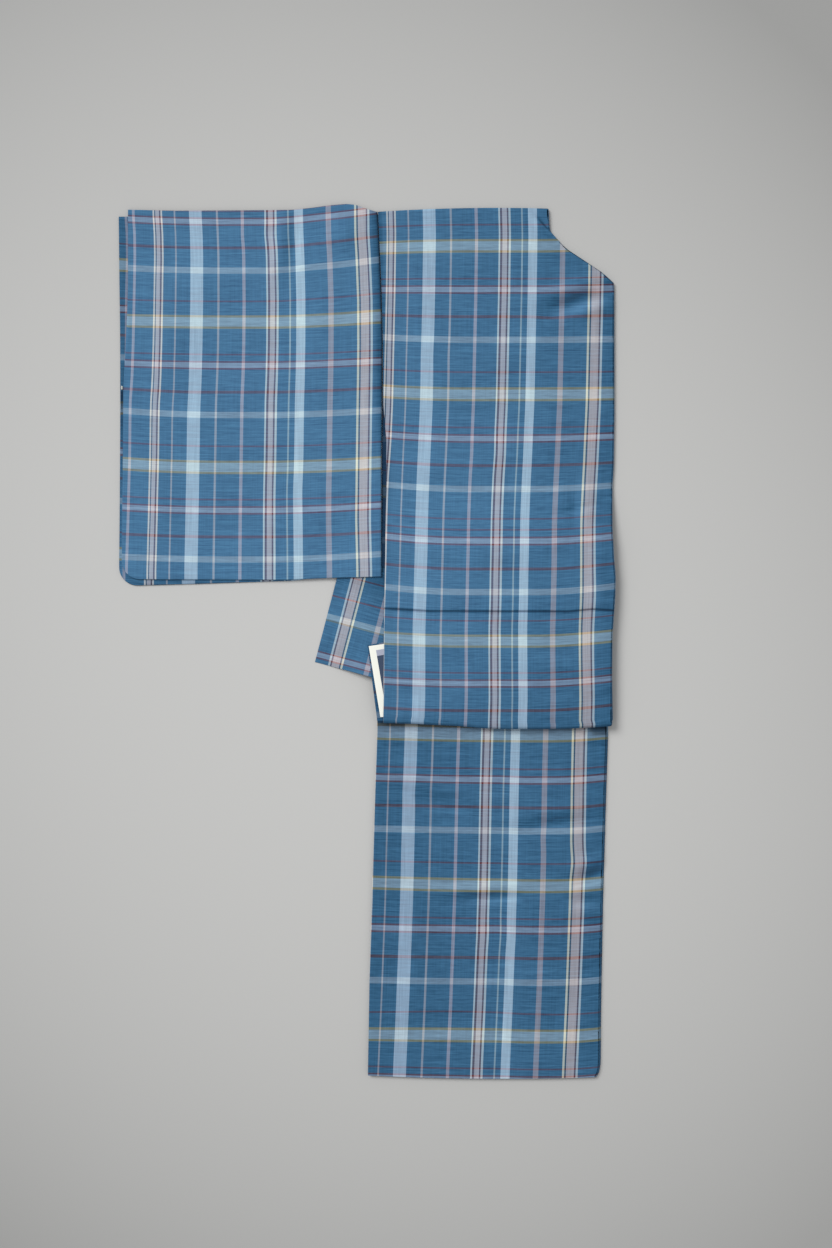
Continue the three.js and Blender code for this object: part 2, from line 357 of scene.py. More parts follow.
# ---- Shader graphs ----------------------------------------------------------------------------------
class Socket:
    """An output socket whose arithmetic adds Math nodes."""

    def __init__(self, graph: "Graph", socket: bpy.types.NodeSocket) -> None:
        """Keep the graph and the socket."""
        self.graph = graph
        self.socket = socket

    def _math(self, operation: str, *values: "Socket | float") -> "Socket":
        """One Math node on the values, in order."""
        return self.graph.add("ShaderNodeMath", {"operation": operation}, dict(enumerate(values)))

    def __add__(self, other: "Socket | float") -> "Socket":
        """Sum."""
        return self._math("ADD", self, other)

    def __sub__(self, other: "Socket | float") -> "Socket":
        """Difference."""
        return self._math("SUBTRACT", self, other)

    def __rsub__(self, other: "Socket | float") -> "Socket":
        """Difference from a number."""
        return self._math("SUBTRACT", other, self)

    def __mul__(self, other: "Socket | float") -> "Socket":
        """Product."""
        return self._math("MULTIPLY", self, other)

    def __truediv__(self, other: "Socket | float") -> "Socket":
        """Quotient."""
        return self._math("DIVIDE", self, other)

    def __gt__(self, other: "Socket | float") -> "Socket":
        """1 where it is greater, else 0."""
        return self._math("GREATER_THAN", self, other)

    __radd__ = __add__

    def wrapped(self) -> "Socket":
        """The part after the decimal point."""
        return self._math("FRACT", self)

    def wave(self) -> "Socket":
        """The sine."""
        return self._math("SINE", self)

    def at_most(self, limit: float) -> "Socket":
        """The lesser of it and a limit."""
        return self._math("MINIMUM", self, limit)

    def at_least(self, limit: float) -> "Socket":
        """The greater of it and a limit."""
        return self._math("MAXIMUM", self, limit)


class Graph:
    """A material's node tree, built by calls."""

    def __init__(self, name: str) -> None:
        """Make an empty material.

        Args:
            name: The material's name.
        """
        self.material = bpy.data.materials.new(name)
        self.material.use_nodes = True
        self.tree = self.material.node_tree
        self.tree.nodes.clear()

    def add(self, kind: str, settings: dict, inputs: dict, output: int | str = 0) -> Socket:
        """Add a node.

        Args:
            kind: The node's type.
            settings: Its own properties, set first.
            inputs: A value or a Socket for each input's name or number.
            output: The output to return.

        Returns:
            That output.
        """
        node = self.tree.nodes.new(kind)
        for key, value in settings.items():
            if key == "stops":
                self._stops(node.color_ramp, value)
            else:
                setattr(node, key, value)
        for key, value in inputs.items():
            if isinstance(value, Socket):
                self.tree.links.new(value.socket, node.inputs[key])
            else:
                node.inputs[key].default_value = value
        return Socket(self, node.outputs[output])

    @staticmethod
    def _stops(ramp: bpy.types.ColorRamp, stops: Sequence[tuple[float, Colour]]) -> None:
        """Fill a ramp with stops that hold their colour up to the next one.

        Args:
            ramp: The ramp.
            stops: The place from 0 to 1 and the colour of each.
        """
        ramp.interpolation = "CONSTANT"
        while len(ramp.elements) > 1:
            ramp.elements.remove(ramp.elements[-1])
        for i, (place, colour) in enumerate(stops):
            element = ramp.elements[0] if i == 0 else ramp.elements.new(place)
            element.position = place
            element.color = (*colour, 1)

    def mix(self, share: Socket | float, first: Socket | Colour, second: Socket | Colour) -> Socket:
        """Mix two colours.

        Args:
            share: How much of the second.
            first: A colour.
            second: A colour.

        Returns:
            The mixed colour.
        """
        colours = [c if isinstance(c, Socket) else (*c, 1) for c in (first, second)]
        return self.add("ShaderNodeMix", {"data_type": "RGBA"}, {0: share, 6: colours[0], 7: colours[1]}, 2)

    def parts(self, vector: Socket) -> list[Socket]:
        """Take a vector apart.

        Args:
            vector: The vector.

        Returns:
            Its x, y and z.
        """
        self.add("ShaderNodeSeparateXYZ", {}, {0: vector})
        node = self.tree.nodes[-1]
        return [Socket(self, node.outputs[i]) for i in range(3)]

    def vector(self, x: Socket | float, y: Socket | float, z: Socket | float = 0.0) -> Socket:
        """A vector from its parts."""
        return self.add("ShaderNodeCombineXYZ", {}, {0: x, 1: y, 2: z})

    def vectors(self, operation: str, *values: Socket | Colour) -> Socket:
        """One Vector Math node on the values, in order."""
        return self.add("ShaderNodeVectorMath", {"operation": operation}, dict(enumerate(values)))

    def scaled(self, colour: Socket | Colour, amount: Socket) -> Socket:
        """A colour times a varying amount."""
        return self.add("ShaderNodeVectorMath", {"operation": "SCALE"}, {0: colour, "Scale": amount})

    def ramp(self, stops: Sequence[tuple[float, Colour]], place: Socket) -> Socket:
        """The colour of the last stop at or before a place."""
        return self.add("ShaderNodeValToRGB", {"stops": stops}, {0: place})

    def noise(self, place: Socket, scale: float, detail: float) -> Socket:
        """Smooth noise about 0.5 at a place."""
        return self.add("ShaderNodeTexNoise", {}, {"Vector": place, "Scale": scale, "Detail": detail})

    def grain(self, across: Socket, along: Socket, grain: tuple[float, float], detail: float) -> Socket:
        """Smooth noise about 0 with so many grains in a metre across and along."""
        return self.noise(self.vector(across * grain[0], along * grain[1]), 1, detail) - 0.5

    def bump(self, strength: float, distance: float, height: Socket) -> Socket:
        """A normal bent by a height, for a full height of so many millimetres."""
        inputs = {"Strength": strength, "Distance": distance * MM, "Height": height}
        return self.add("ShaderNodeBump", {}, inputs)

    def bolt(self) -> list[Socket]:
        """The place across and along the bolt, in metres, and a spare."""
        return self.parts(self.add("ShaderNodeUVMap", {"uv_map": "bolt"}, {}))

    def here(self) -> Socket:
        """The point's own place in its object."""
        return self.add("ShaderNodeTexCoord", {}, {}, "Object")

    def finish(self, colour: Socket, roughness: Socket | float, normal: Socket | None = None,
               specular: float = 0.5) -> bpy.types.Material:
        """Close the graph with a Principled shader.

        Args:
            colour: Base colour.
            roughness: Roughness.
            normal: Bumped normal.
            specular: Specular level.

        Returns:
            The material.
        """
        shader = self.tree.nodes.new("ShaderNodeBsdfPrincipled")
        shader.inputs["Specular IOR Level"].default_value = specular
        for name, value in {"Base Color": colour, "Roughness": roughness, "Normal": normal}.items():
            if isinstance(value, Socket):
                self.tree.links.new(value.socket, shader.inputs[name])
            elif value is not None:
                shader.inputs[name].default_value = value
        end = self.tree.nodes.new("ShaderNodeOutputMaterial")
        self.tree.links.new(shader.outputs[0], end.inputs[0])
        return self.material


class Yarn(Enum):
    """The dyed yarns, as linear colours."""

    GROUND = (0.057, 0.145, 0.272)
    PALE_BLUE = (0.44, 0.56, 0.73)
    BRIGHT_BLUE = (0.475, 0.605, 0.77)
    WHITE = (0.68, 0.655, 0.665)
    PEARL = (0.56, 0.655, 0.74)
    ICE = (0.53, 0.61, 0.69)
    CREAM = (0.69, 0.68, 0.58)
    BLUSH = (0.485, 0.46, 0.53)
    ROSE = (0.53, 0.46, 0.49)
    PINK = (0.34, 0.325, 0.405)
    DUSTY_PINK = (0.36, 0.355, 0.465)
    THIN_PINK = (0.35, 0.37, 0.455)
    GREY_BLUE = (0.324, 0.43, 0.52)
    NAVY = (0.065, 0.085, 0.13)
    MAROON = (0.14, 0.085, 0.105)
    LAVENDER = (0.24, 0.325, 0.445)
    MID_BLUE = (0.28, 0.38, 0.49)
    SKY = (0.25, 0.31, 0.445)
    RED = (0.14, 0.047, 0.057)
    WINE = (0.108, 0.045, 0.056)
    THIN_RED = (0.108, 0.055, 0.09)
    OCHRE = (0.27, 0.244, 0.13)
    OLIVE = (0.165, 0.19, 0.165)


# Warp stripes: the yarn and where it lies across the bolt, from its outer side, in millimetres.
Stripes = Sequence[tuple[Yarn, float, float]]
WARP_STRIPES: Stripes = (
    (Yarn.DUSTY_PINK, 18.7, 22.3),
    (Yarn.WHITE, 46.1, 47.9), (Yarn.NAVY, 47.9, 49.7), (Yarn.BLUSH, 49.7, 54.7), (Yarn.MAROON, 54.7, 56.4),
    (Yarn.WHITE, 56.4, 58.4),
    (Yarn.THIN_PINK, 74.3, 76.6),
    (Yarn.PALE_BLUE, 94.4, 111.1),
    (Yarn.THIN_PINK, 130.4, 132.9),
    (Yarn.DUSTY_PINK, 163.4, 168.0),
    (Yarn.PEARL, 195.1, 197.5), (Yarn.MAROON, 197.5, 199.8), (Yarn.BLUSH, 199.8, 206.7),
    (Yarn.MAROON, 206.7, 208.8), (Yarn.ICE, 208.8, 211.4),
    (Yarn.GREY_BLUE, 225.4, 227.5),
    (Yarn.BRIGHT_BLUE, 234.2, 246.7),
    (Yarn.PINK, 276.6, 283.7),
    (Yarn.CREAM, 314.6, 317.5), (Yarn.NAVY, 317.5, 319.6), (Yarn.ROSE, 319.6, 330.2),
    (Yarn.MAROON, 330.2, 331.9), (Yarn.ICE, 331.9, 334.9),
)

# Weft bands: the yarn and where it lies along one repeat. The pale band between ochre lines is about 27.
WEFT_START = 27.0
WEFT_BANDS: Stripes = (
    (Yarn.OCHRE, 17.9, 20.9), (Yarn.MID_BLUE, 20.9, 33.1), (Yarn.OCHRE, 33.1, 36.1),
    (Yarn.THIN_RED, 69.1, 71.5),
    (Yarn.RED, 78.6, 81.1), (Yarn.SKY, 81.1, 87.5), (Yarn.RED, 87.5, 90.0),
    (Yarn.WINE, 117.5, 121.4),
    (Yarn.LAVENDER, 145.9, 154.3),
    (Yarn.THIN_RED, 190.4, 192.6),
)

# The collar's end shows the same repeat with a narrower pale band that has one faint ochre line.
COLLAR_BANDS: Stripes = (
    (Yarn.MID_BLUE, 24.4, 32.6), (Yarn.OLIVE, 32.6, 35.0),
    (Yarn.RED, 78.7, 81.0), (Yarn.SKY, 81.0, 87.6), (Yarn.RED, 87.6, 89.9),
    (Yarn.WINE, 117.6, 121.2),
    (Yarn.THIN_RED, 158.9, 161.4),
    (Yarn.RED, 189.9, 192.3),
)

# Ground narrower than this between two stripes isn't drawn.
LEAST_GROUND = 0.05


def ramp_stops(stripes: Stripes, start: float, span: float) -> list[tuple[float, Colour]]:
    """Turn stripes on a plain ground into the stops of a ramp over start to start + span.

    Args:
        stripes: Yarn, first and last place of each, in order.
        start: The place of the ramp's 0.
        span: The length of the ramp.

    Returns:
        Place from 0 to 1 and colour of each stop.
    """
    stops = [(0.0, Yarn.GROUND.value)]
    for i, (yarn, first, last) in enumerate(stripes):
        stops.append(((first - start) / span, yarn.value))
        following = stripes[i + 1][1] if i + 1 < len(stripes) else np.inf
        if following - last > LEAST_GROUND:
            stops.append(((last - start) / span, Yarn.GROUND.value))
    return stops


# Below this brightness of painted light and shade, the cloth goes to black.
NEAR_BLACK = 1 / 2.2


@dataclass(frozen=True)
class CheckSilk:
    """Yarn-dyed slubbed silk: the colour is the mean of the warp's and the weft's yarn at each place plus
    a share of their product, so that pale yarns glow where they cross, with uneven yarns that show as
    short streaks, and a fine ribbed weave. A grain is how many grains go in a metre across and along."""

    name: str
    # Painted shade over the whole material, for a darker copy of it.
    shade: float = 1.0
    bands: Stripes = WEFT_BANDS
    split: float = 180.0
    weave_pitch: float = 0.62
    pick_grain: tuple[float, float] = (16, 520)
    slub_grain: tuple[float, float] = (75, 560)
    end_grain: tuple[float, float] = (620, 14)
    cloud_grain: tuple[float, float] = (7, 9)
    weft_uneven: float = 0.9
    warp_uneven: float = 0.6
    cloud: float = 0.1
    roughness: float = 0.84
    specular: float = 0.06
    glow: Colour = (0.78, 0.55, 0.08)
    streak: Colour = (0.05, 0.12, 0.155)
    # How the cloth deepens and turns bluer in painted shade, and the least share of it that stays.
    fade: Colour = (0.62, 0.62, 0.3)
    haze: Colour = (0.052, 0.083, 0.21)
    least: Colour = (0.5, 0.6, 0.5)

    def material(self) -> bpy.types.Material:
        """Build the material.

        Returns:
            The material.
        """
        g = Graph(self.name)
        across, along, _ = g.bolt()
        # The points' painted light and shade, held in the mesh.
        painted_light = g.add("ShaderNodeAttribute", {"attribute_name": "painted_light"}, {}, "Fac")
        pick = g.grain(across, along, self.pick_grain, 1)
        slub = g.grain(across, along + 40 / self.slub_grain[1], self.slub_grain, 1)
        end = g.grain(across, along, self.end_grain, 2)
        cloud = g.grain(across, along, self.cloud_grain, 2)
        streak = pick * 0.62 + slub * 0.38
        weft = g.scaled(self._weft(g, along), 1 + streak * self.weft_uneven)
        warp = g.scaled(self._warp(g, across), 1 + end * self.warp_uneven)
        both = g.vectors("MULTIPLY", warp, weft)
        woven = g.vectors("MULTIPLY_ADD", both, self.glow, g.mix(0.5, warp, weft))
        woven = g.vectors("ADD", woven, g.scaled(self.streak, streak))
        woven = self._shaded(g, woven, (1 + cloud * self.cloud) * painted_light * self.shade)
        turns = 2 * np.pi / (self.weave_pitch * MM)
        ribs = (along * turns).wave() * 0.5 + (across * turns).wave() * 0.35
        height = ribs * 0.35 + pick * 1.6 + slub * 1.2 + end * 0.5
        normal = g.bump(0.22, 0.4, height)
        return g.finish(woven, self.roughness + pick * 0.2, normal, specular=self.specular)

    def _warp(self, g: Graph, across: Socket) -> Socket:
        """The warp's colour, from two ramps, because one has too few stops.

        Args:
            g: The graph.
            across: The place across the bolt.

        Returns:
            The colour.
        """
        span = self.split
        left = [s for s in WARP_STRIPES if s[1] < span]
        right = [s for s in WARP_STRIPES if s[1] >= span]
        first = g.ramp(ramp_stops(left, 0, span), across / (span * MM))
        second = g.ramp(ramp_stops(right, span, span), across / (span * MM) - 1)
        return g.mix(across > span * MM, first, second)

    def _weft(self, g: Graph, along: Socket) -> Socket:
        """The weft's colour, which repeats along the bolt."""
        place = ((along + WEFT_START * MM) / (WEFT_REPEAT * MM)).wrapped()
        return g.ramp(ramp_stops(self.bands, 0, WEFT_REPEAT), place)

    def _shaded(self, g: Graph, colour: Socket, painted_light: Socket) -> Socket:
        """Put cloth in shade, where it turns deeper and bluer: each channel is scaled by 1 - fade * s less
        haze * s, with s = 1 - tone, keeps a least share of the scaled one, and goes to nothing below the
        tone that counts as near black.

        Args:
            g: The graph.
            colour: The cloth's colour.
            painted_light: 1 where it is fully lit.

        Returns:
            The shaded colour.
        """
        dark = 1 - painted_light
        near_black = (painted_light / NEAR_BLACK).at_most(1.0)
        scale = g.vector(*((1 - dark * f) * near_black for f in self.fade))
        taken = g.vector(*(dark * h for h in self.haze))
        colour = g.vectors("MULTIPLY", colour, scale)
        kept = g.vectors("MULTIPLY", colour, self.least)
        return g.vectors("MAXIMUM", g.vectors("SUBTRACT", colour, taken), kept)


@dataclass(frozen=True)
class LabelTape:
    """A blank woven label: a white border, a grey band inside its top and a plain slate middle."""

    name: str = "label_tape_looks"
    border: float = 8.6
    top_border: float = 6.88
    band_end: float = 14.62
    grain: tuple[float, float] = (900, 1600)
    ground: Colour = (0.036, 0.056, 0.10)
    band: Colour = (0.33, 0.35, 0.43)
    white: Colour = (0.76, 0.765, 0.69)

    def material(self) -> bpy.types.Material:
        """Build the material.

        Returns:
            The material.
        """
        g = Graph(self.name)
        across, down, _ = g.bolt()
        inside = (across > self.border * MM) * (down > self.top_border * MM)
        centre = g.mix(down > self.band_end * MM, self.band, self.ground)
        threads = g.grain(across, down, self.grain, 1)
        colour = g.scaled(g.mix(inside, self.white, centre), 1 + threads * 0.2)
        return g.finish(colour, 0.8, g.bump(0.2, 0.3, threads), specular=0.3)


@dataclass(frozen=True)
class Thread:
    """Plain white sewing thread."""

    name: str = "white_thread"
    dark: Colour = (0.50, 0.53, 0.50)
    light: Colour = (0.76, 0.79, 0.74)

    def material(self) -> bpy.types.Material:
        """Build the material.

        Returns:
            The material.
        """
        g = Graph(self.name)
        ply = g.noise(g.here(), 2600, 1)
        return g.finish(g.mix(ply, self.dark, self.light), 0.6, g.bump(0.3, 0.2, ply))


@dataclass(frozen=True)
class Backdrop:
    """Seamless grey paper with painted light and shade: lightest in the middle and darker towards the
    corners. Its lightness at (x, y) metres is 1 - 0.034 x + 0.048 y - 0.1 x y - 0.35 x^2 - 0.31 y^2 - 0.07
    (x^2 + y^2)^2, but never under the dimmest."""

    name: str = "backdrop_paper"
    light: Colour = (0.49, 0.487, 0.473)
    dimmest: float = 0.6

    def material(self) -> bpy.types.Material:
        """Build the material.

        Returns:
            The material.
        """
        g = Graph(self.name)
        x, y, _ = g.parts(g.here())
        square, tall = x * x, y * y
        far = square + tall
        away = x * 0.034 - y * 0.048 + x * y * 0.1 + square * 0.35 + tall * 0.31 + far * far * 0.07
        grain = g.noise(g.here(), 700, 2)
        lit = (1 - away).at_least(self.dimmest)
        return g.finish(g.scaled(self.light, lit * (1 + (grain - 0.5) * 0.03)), 0.9, specular=0.1)


# ---- The folded body --------------------------------------------------------------------------------
UPPER_LEFT = Table(10, (
    (577, 14.6), (543, 15.9), (472, 19.1), (400, 21.0), (322, 21.2), (295, 23.2), (268, 25.6),
    (215, 25.5), (162, 24.8), (109, 24.2), (41, 23.0), (-107, 21.7),
))
UPPER_RIGHT = Table(2, (
    (577, 241.3), (556, 242.3), (546, 243.8), (533, 255.1), (522, 265.6), (503, 294.5), (491, 312.5),
    (477, 327.9), (470, 328.6), (300, 328.9), (235, 328.0), (207, 326.3), (150, 325.4), (108, 327.4),
    (88, 329.4), (62, 329.0), (9, 325.2), (-45, 324.6), (-107, 324.8),
))
MIDDLE_LEFT = Table(0, ((115, 18.4), (-107, 21.7)))
MIDDLE_RIGHT = Table(0, ((115, 322.1), (-107, 326.1)))
LOWER_LEFT = Table(10, ((115, 18.4), (-125, 13.1), (-211, 10.4), (-291, 7.7), (-424, 3.7), (-578, 1.1)))
LOWER_RIGHT = Table(6, (
    (115, 322.1), (-125, 319.0), (-211, 316.2), (-344, 312.3), (-424, 310.8), (-504, 309.4),
    (-560, 309.2), (-572, 308.0), (-580, 304.0),
))
ARMHOLE_SEAM = Table(10, (
    (582, 13.6), (543, 15.5), (472, 18.6), (400, 20.5), (330, 20.0), (242, 19.2), (60, 19.4),
))
TUCK_LINE = Table(20, ((21, 44.4), (84, 40.6), (270, 40.2), (297, 43.2), (330, 41.2)))
TUCKED_IN_X, TUCKED_IN_Y = 42.4, 98.0

# Where the body's stripes and bands lie: shifts across the bolt and places along it, by y.
UPPER_SHIFT = Table(24, (
    (577, 21.2), (541, 20.4), (457, 21.5), (372, 23.4), (315, 24.6), (255, 27.3), (218, 28.9),
    (172, 30.5), (119, 31.6), (55, 33.2), (18, 34.4), (-75, 34.6), (-107, 35.7),
))
MIDDLE_SHIFT = Table(0, ((-107, 36.5), (115, 40.5)))
LOWER_SHIFT = Table(24, (
    (115, 40.5), (-124, 44.8), (-198, 47.2), (-278, 49.1), (-344, 50.6), (-404, 52.8), (-477, 55.6),
    (-560, 59.3), (-584, 60.2),
))
UPPER_FAN = Table(24, (
    (577, 0.0), (235, 0.0), (195, -0.5), (155, -1.3), (90, -1.2), (55, -0.5), (-18, -0.2), (-107, 0.9),
))
LOWER_FAN = Table(24, ((-124, 1.7), (-198, 2.4), (-278, 3.3), (-560, 3.6)))
ABOVE_HIDDEN_TUCK = Table(0, (
    (577, -51.3), (527, -1.0), (469, 56.5), (402, 122.2), (330, 191.3), (275, 245.4), (235, 284.8),
    (202, 316.2), (156.5, 363.6),
))
ABOVE_TUCK = Table(0, ((156.5, 420.6), (98, 476.5), (66, 508.1), (41.3, 532.2)))
BELOW_TUCK = Table(0, ((41.3, 535.2), (28, 549.5), (0.7, 578.2), (-56, 636.4), (-114, 693.4)))
LOWER_ALONG = Table(0, (
    (110, 926.0), (-113, 1149.0), (-124.5, 1156.2), (-183, 1213.5), (-251, 1279.3), (-324, 1348.9),
    (-382, 1406.2), (-452, 1472.0), (-524, 1541.7), (-581, 1598.4),
))
FOLDED_IN_ALONG = (690.0, 925.0)
FAN_START_X, FAN_WIDTH, MIDDLE_FAN = 67.7, 177.2, 2.5
EDGE_ROLL = Patch(1.6, 46, 26, 280, 200)
SWELL, SWELL_X, SWELL_Y, SWELL_LENGTH = 2.0, (257, 324), 71.0, 40.0
LOW_PUCKER = Patch(1.2, 165, 215, -120, -160)


@dataclass(frozen=True)
class Pull:
    """A spot where the cloth is drawn aside: its pattern moves by (dx, dy) at (x, y), and about that less,
    by exp(-(a / width)^2 - (b / height)^2) at a and b from it."""

    x: float
    y: float
    width: float
    height: float
    dx: float
    dy: float


PULLS = (
    Pull(246, 433, 20, 14, 0.0, -1.8), Pull(281, -294, 26, 17, 1.9, 0.0), Pull(240, -262, 20, 12, -0.8, 0.4),
    Pull(118, -492, 90, 24, 0.2, 2.9), Pull(176, -390, 30, 18, 0.9, 0.5), Pull(70, -200, 26, 16, -0.8, 0.9),
    Pull(160, 250, 40, 20, 0.7, -0.6), Pull(96, 380, 26, 22, -0.7, 0.4), Pull(262, 95, 22, 26, 0.8, -0.5),
)
SLEEVE_PULLS = (
    Pull(-145, 541, 34, 14, -1.1, 0.4), Pull(-250, 330, 36, 24, 0.8, -0.6), Pull(-90, 200, 40, 26, -0.8, 0.6),
)


def pulled(pulls: Sequence[Pull], x: np.ndarray, y: np.ndarray) -> tuple[np.ndarray, np.ndarray]:
    """The place whose pattern shows at each (x, y), once every pull has moved it.

    Args:
        pulls: The pulls.
        x: Each point's x.
        y: Each point's y.

    Returns:
        That place's x and y.
    """
    reach = [bell(x - p.x, p.width) * bell(y - p.y, p.height) for p in pulls]
    return x - sum(p.dx * r for p, r in zip(pulls, reach)), y - sum(p.dy * r for p, r in zip(pulls, reach))


@dataclass(frozen=True)
class BandBow:
    """How the bands bend towards one side of a panel: by a table of y, times a power of the distance past
    a start over a width. The width is negative where the bend is on the left."""

    start: float
    width: float
    most: float
    power: float
    table: Table

    def at(self, x: np.ndarray, y: np.ndarray) -> np.ndarray:
        """How far up the bands lie at each (x, y)."""
        return self.table.at(y) * np.clip((x - self.start) / self.width, 0, self.most) ** self.power


UPPER_BOWS = (
    BandBow(137, -91, 1.3, 2, Table(30, (
        (577, 2.0), (527, 2.0), (402, -2.3), (330, -2.5), (202, -4.1), (66, -4.5), (1, -2.5),
        (-114, -2.4),
    ))),
    BandBow(225, 96, 1.1, 1.7, Table(30, (
        (577, -3.0), (527, -3.0), (402, -0.7), (330, -0.8), (202, -4.7), (66, -7.2), (1, -6.3),
        (-114, -7.4),
    ))),
)
LOWER_BOWS = (
    BandBow(164, -144, 1.1, 1.5, Table(30, (
        (-124, -3.0), (-251, -2.3), (-324, -3.5), (-382, -2.1), (-524, -1.6), (-580, -3.0),
    ))),
    BandBow(245, 52, 1.3, 2, Table(30, (
        (-124, -2.2), (-580, -2.2),
    ))),
)


class Stretch(Enum):
    """The body's stretches and the folds between them, by number along the pile."""

    SHOULDER = 0
    UPPER = 1
    WAIST = 2
    MIDDLE = 3
    INNER = 4
    LOWER = 5


@dataclass(frozen=True)
class Bow:
    """How an edge that crosses the body bends: its left end, middle and right end move along the body
    by so much, and what lies between by a table's more, fading out over a reach."""

    stretches: tuple[Stretch, ...]
    y: float
    left: float
    middle: float
    right: float
    reach: float
    more: Table = Table(0, ((0, 0.0), (1, 0.0)))

    def shift(self, stretch: np.ndarray, y: np.ndarray, u: np.ndarray) -> np.ndarray:
        """left (1-u)(1-2u) + middle 4u(1-u) + right u(2u-1) plus the table's value at u, times the fade.

        Args:
            stretch: Each row's stretch number.
            y: Each row's y.
            u: Each column's share of the width.

        Returns:
            The shift along y of each row and column.
        """
        on = np.isin(stretch, [s.value for s in self.stretches])
        fade = np.where(on, 1 - smooth(np.abs(y - self.y), 0, self.reach), 0)[:, None]
        ends = self.left * (1 - u) * (1 - 2 * u) + self.right * u * (2 * u - 1)
        return fade * (ends + self.middle * 4 * u * (1 - u) + self.more.at(u))


BOWS = (
    Bow((Stretch.SHOULDER, Stretch.UPPER), SHOULDER_Y, -5.4, -0.6, -1.2, 60),
    Bow((Stretch.UPPER, Stretch.WAIST, Stretch.MIDDLE), WAIST_FOLD_Y, 2, -5.5, 0, 90, Table(0.1, (
        (0, -1.0), (0.03, 0.0), (0.13, 1.8), (0.32, 2.0), (0.41, 0.2), (0.5, -0.8), (0.61, -1.0),
        (0.81, -2.4), (0.98, -2.6),
    ))),
    Bow((Stretch.LOWER,), HEM_Y, 3, -1.2, 0.8, 160),
)


# Rows along the path: how far from a stretch's ends the even ones begin and end, how far apart the hidden
# ones are, and where closer ones round the neck's corners.
FIRST_ROW, LAST_ROW, HIDDEN_SPACING = 4.0, 3.0, 8.0
NECK_CORNERS = ((541, 570), (468, 482))


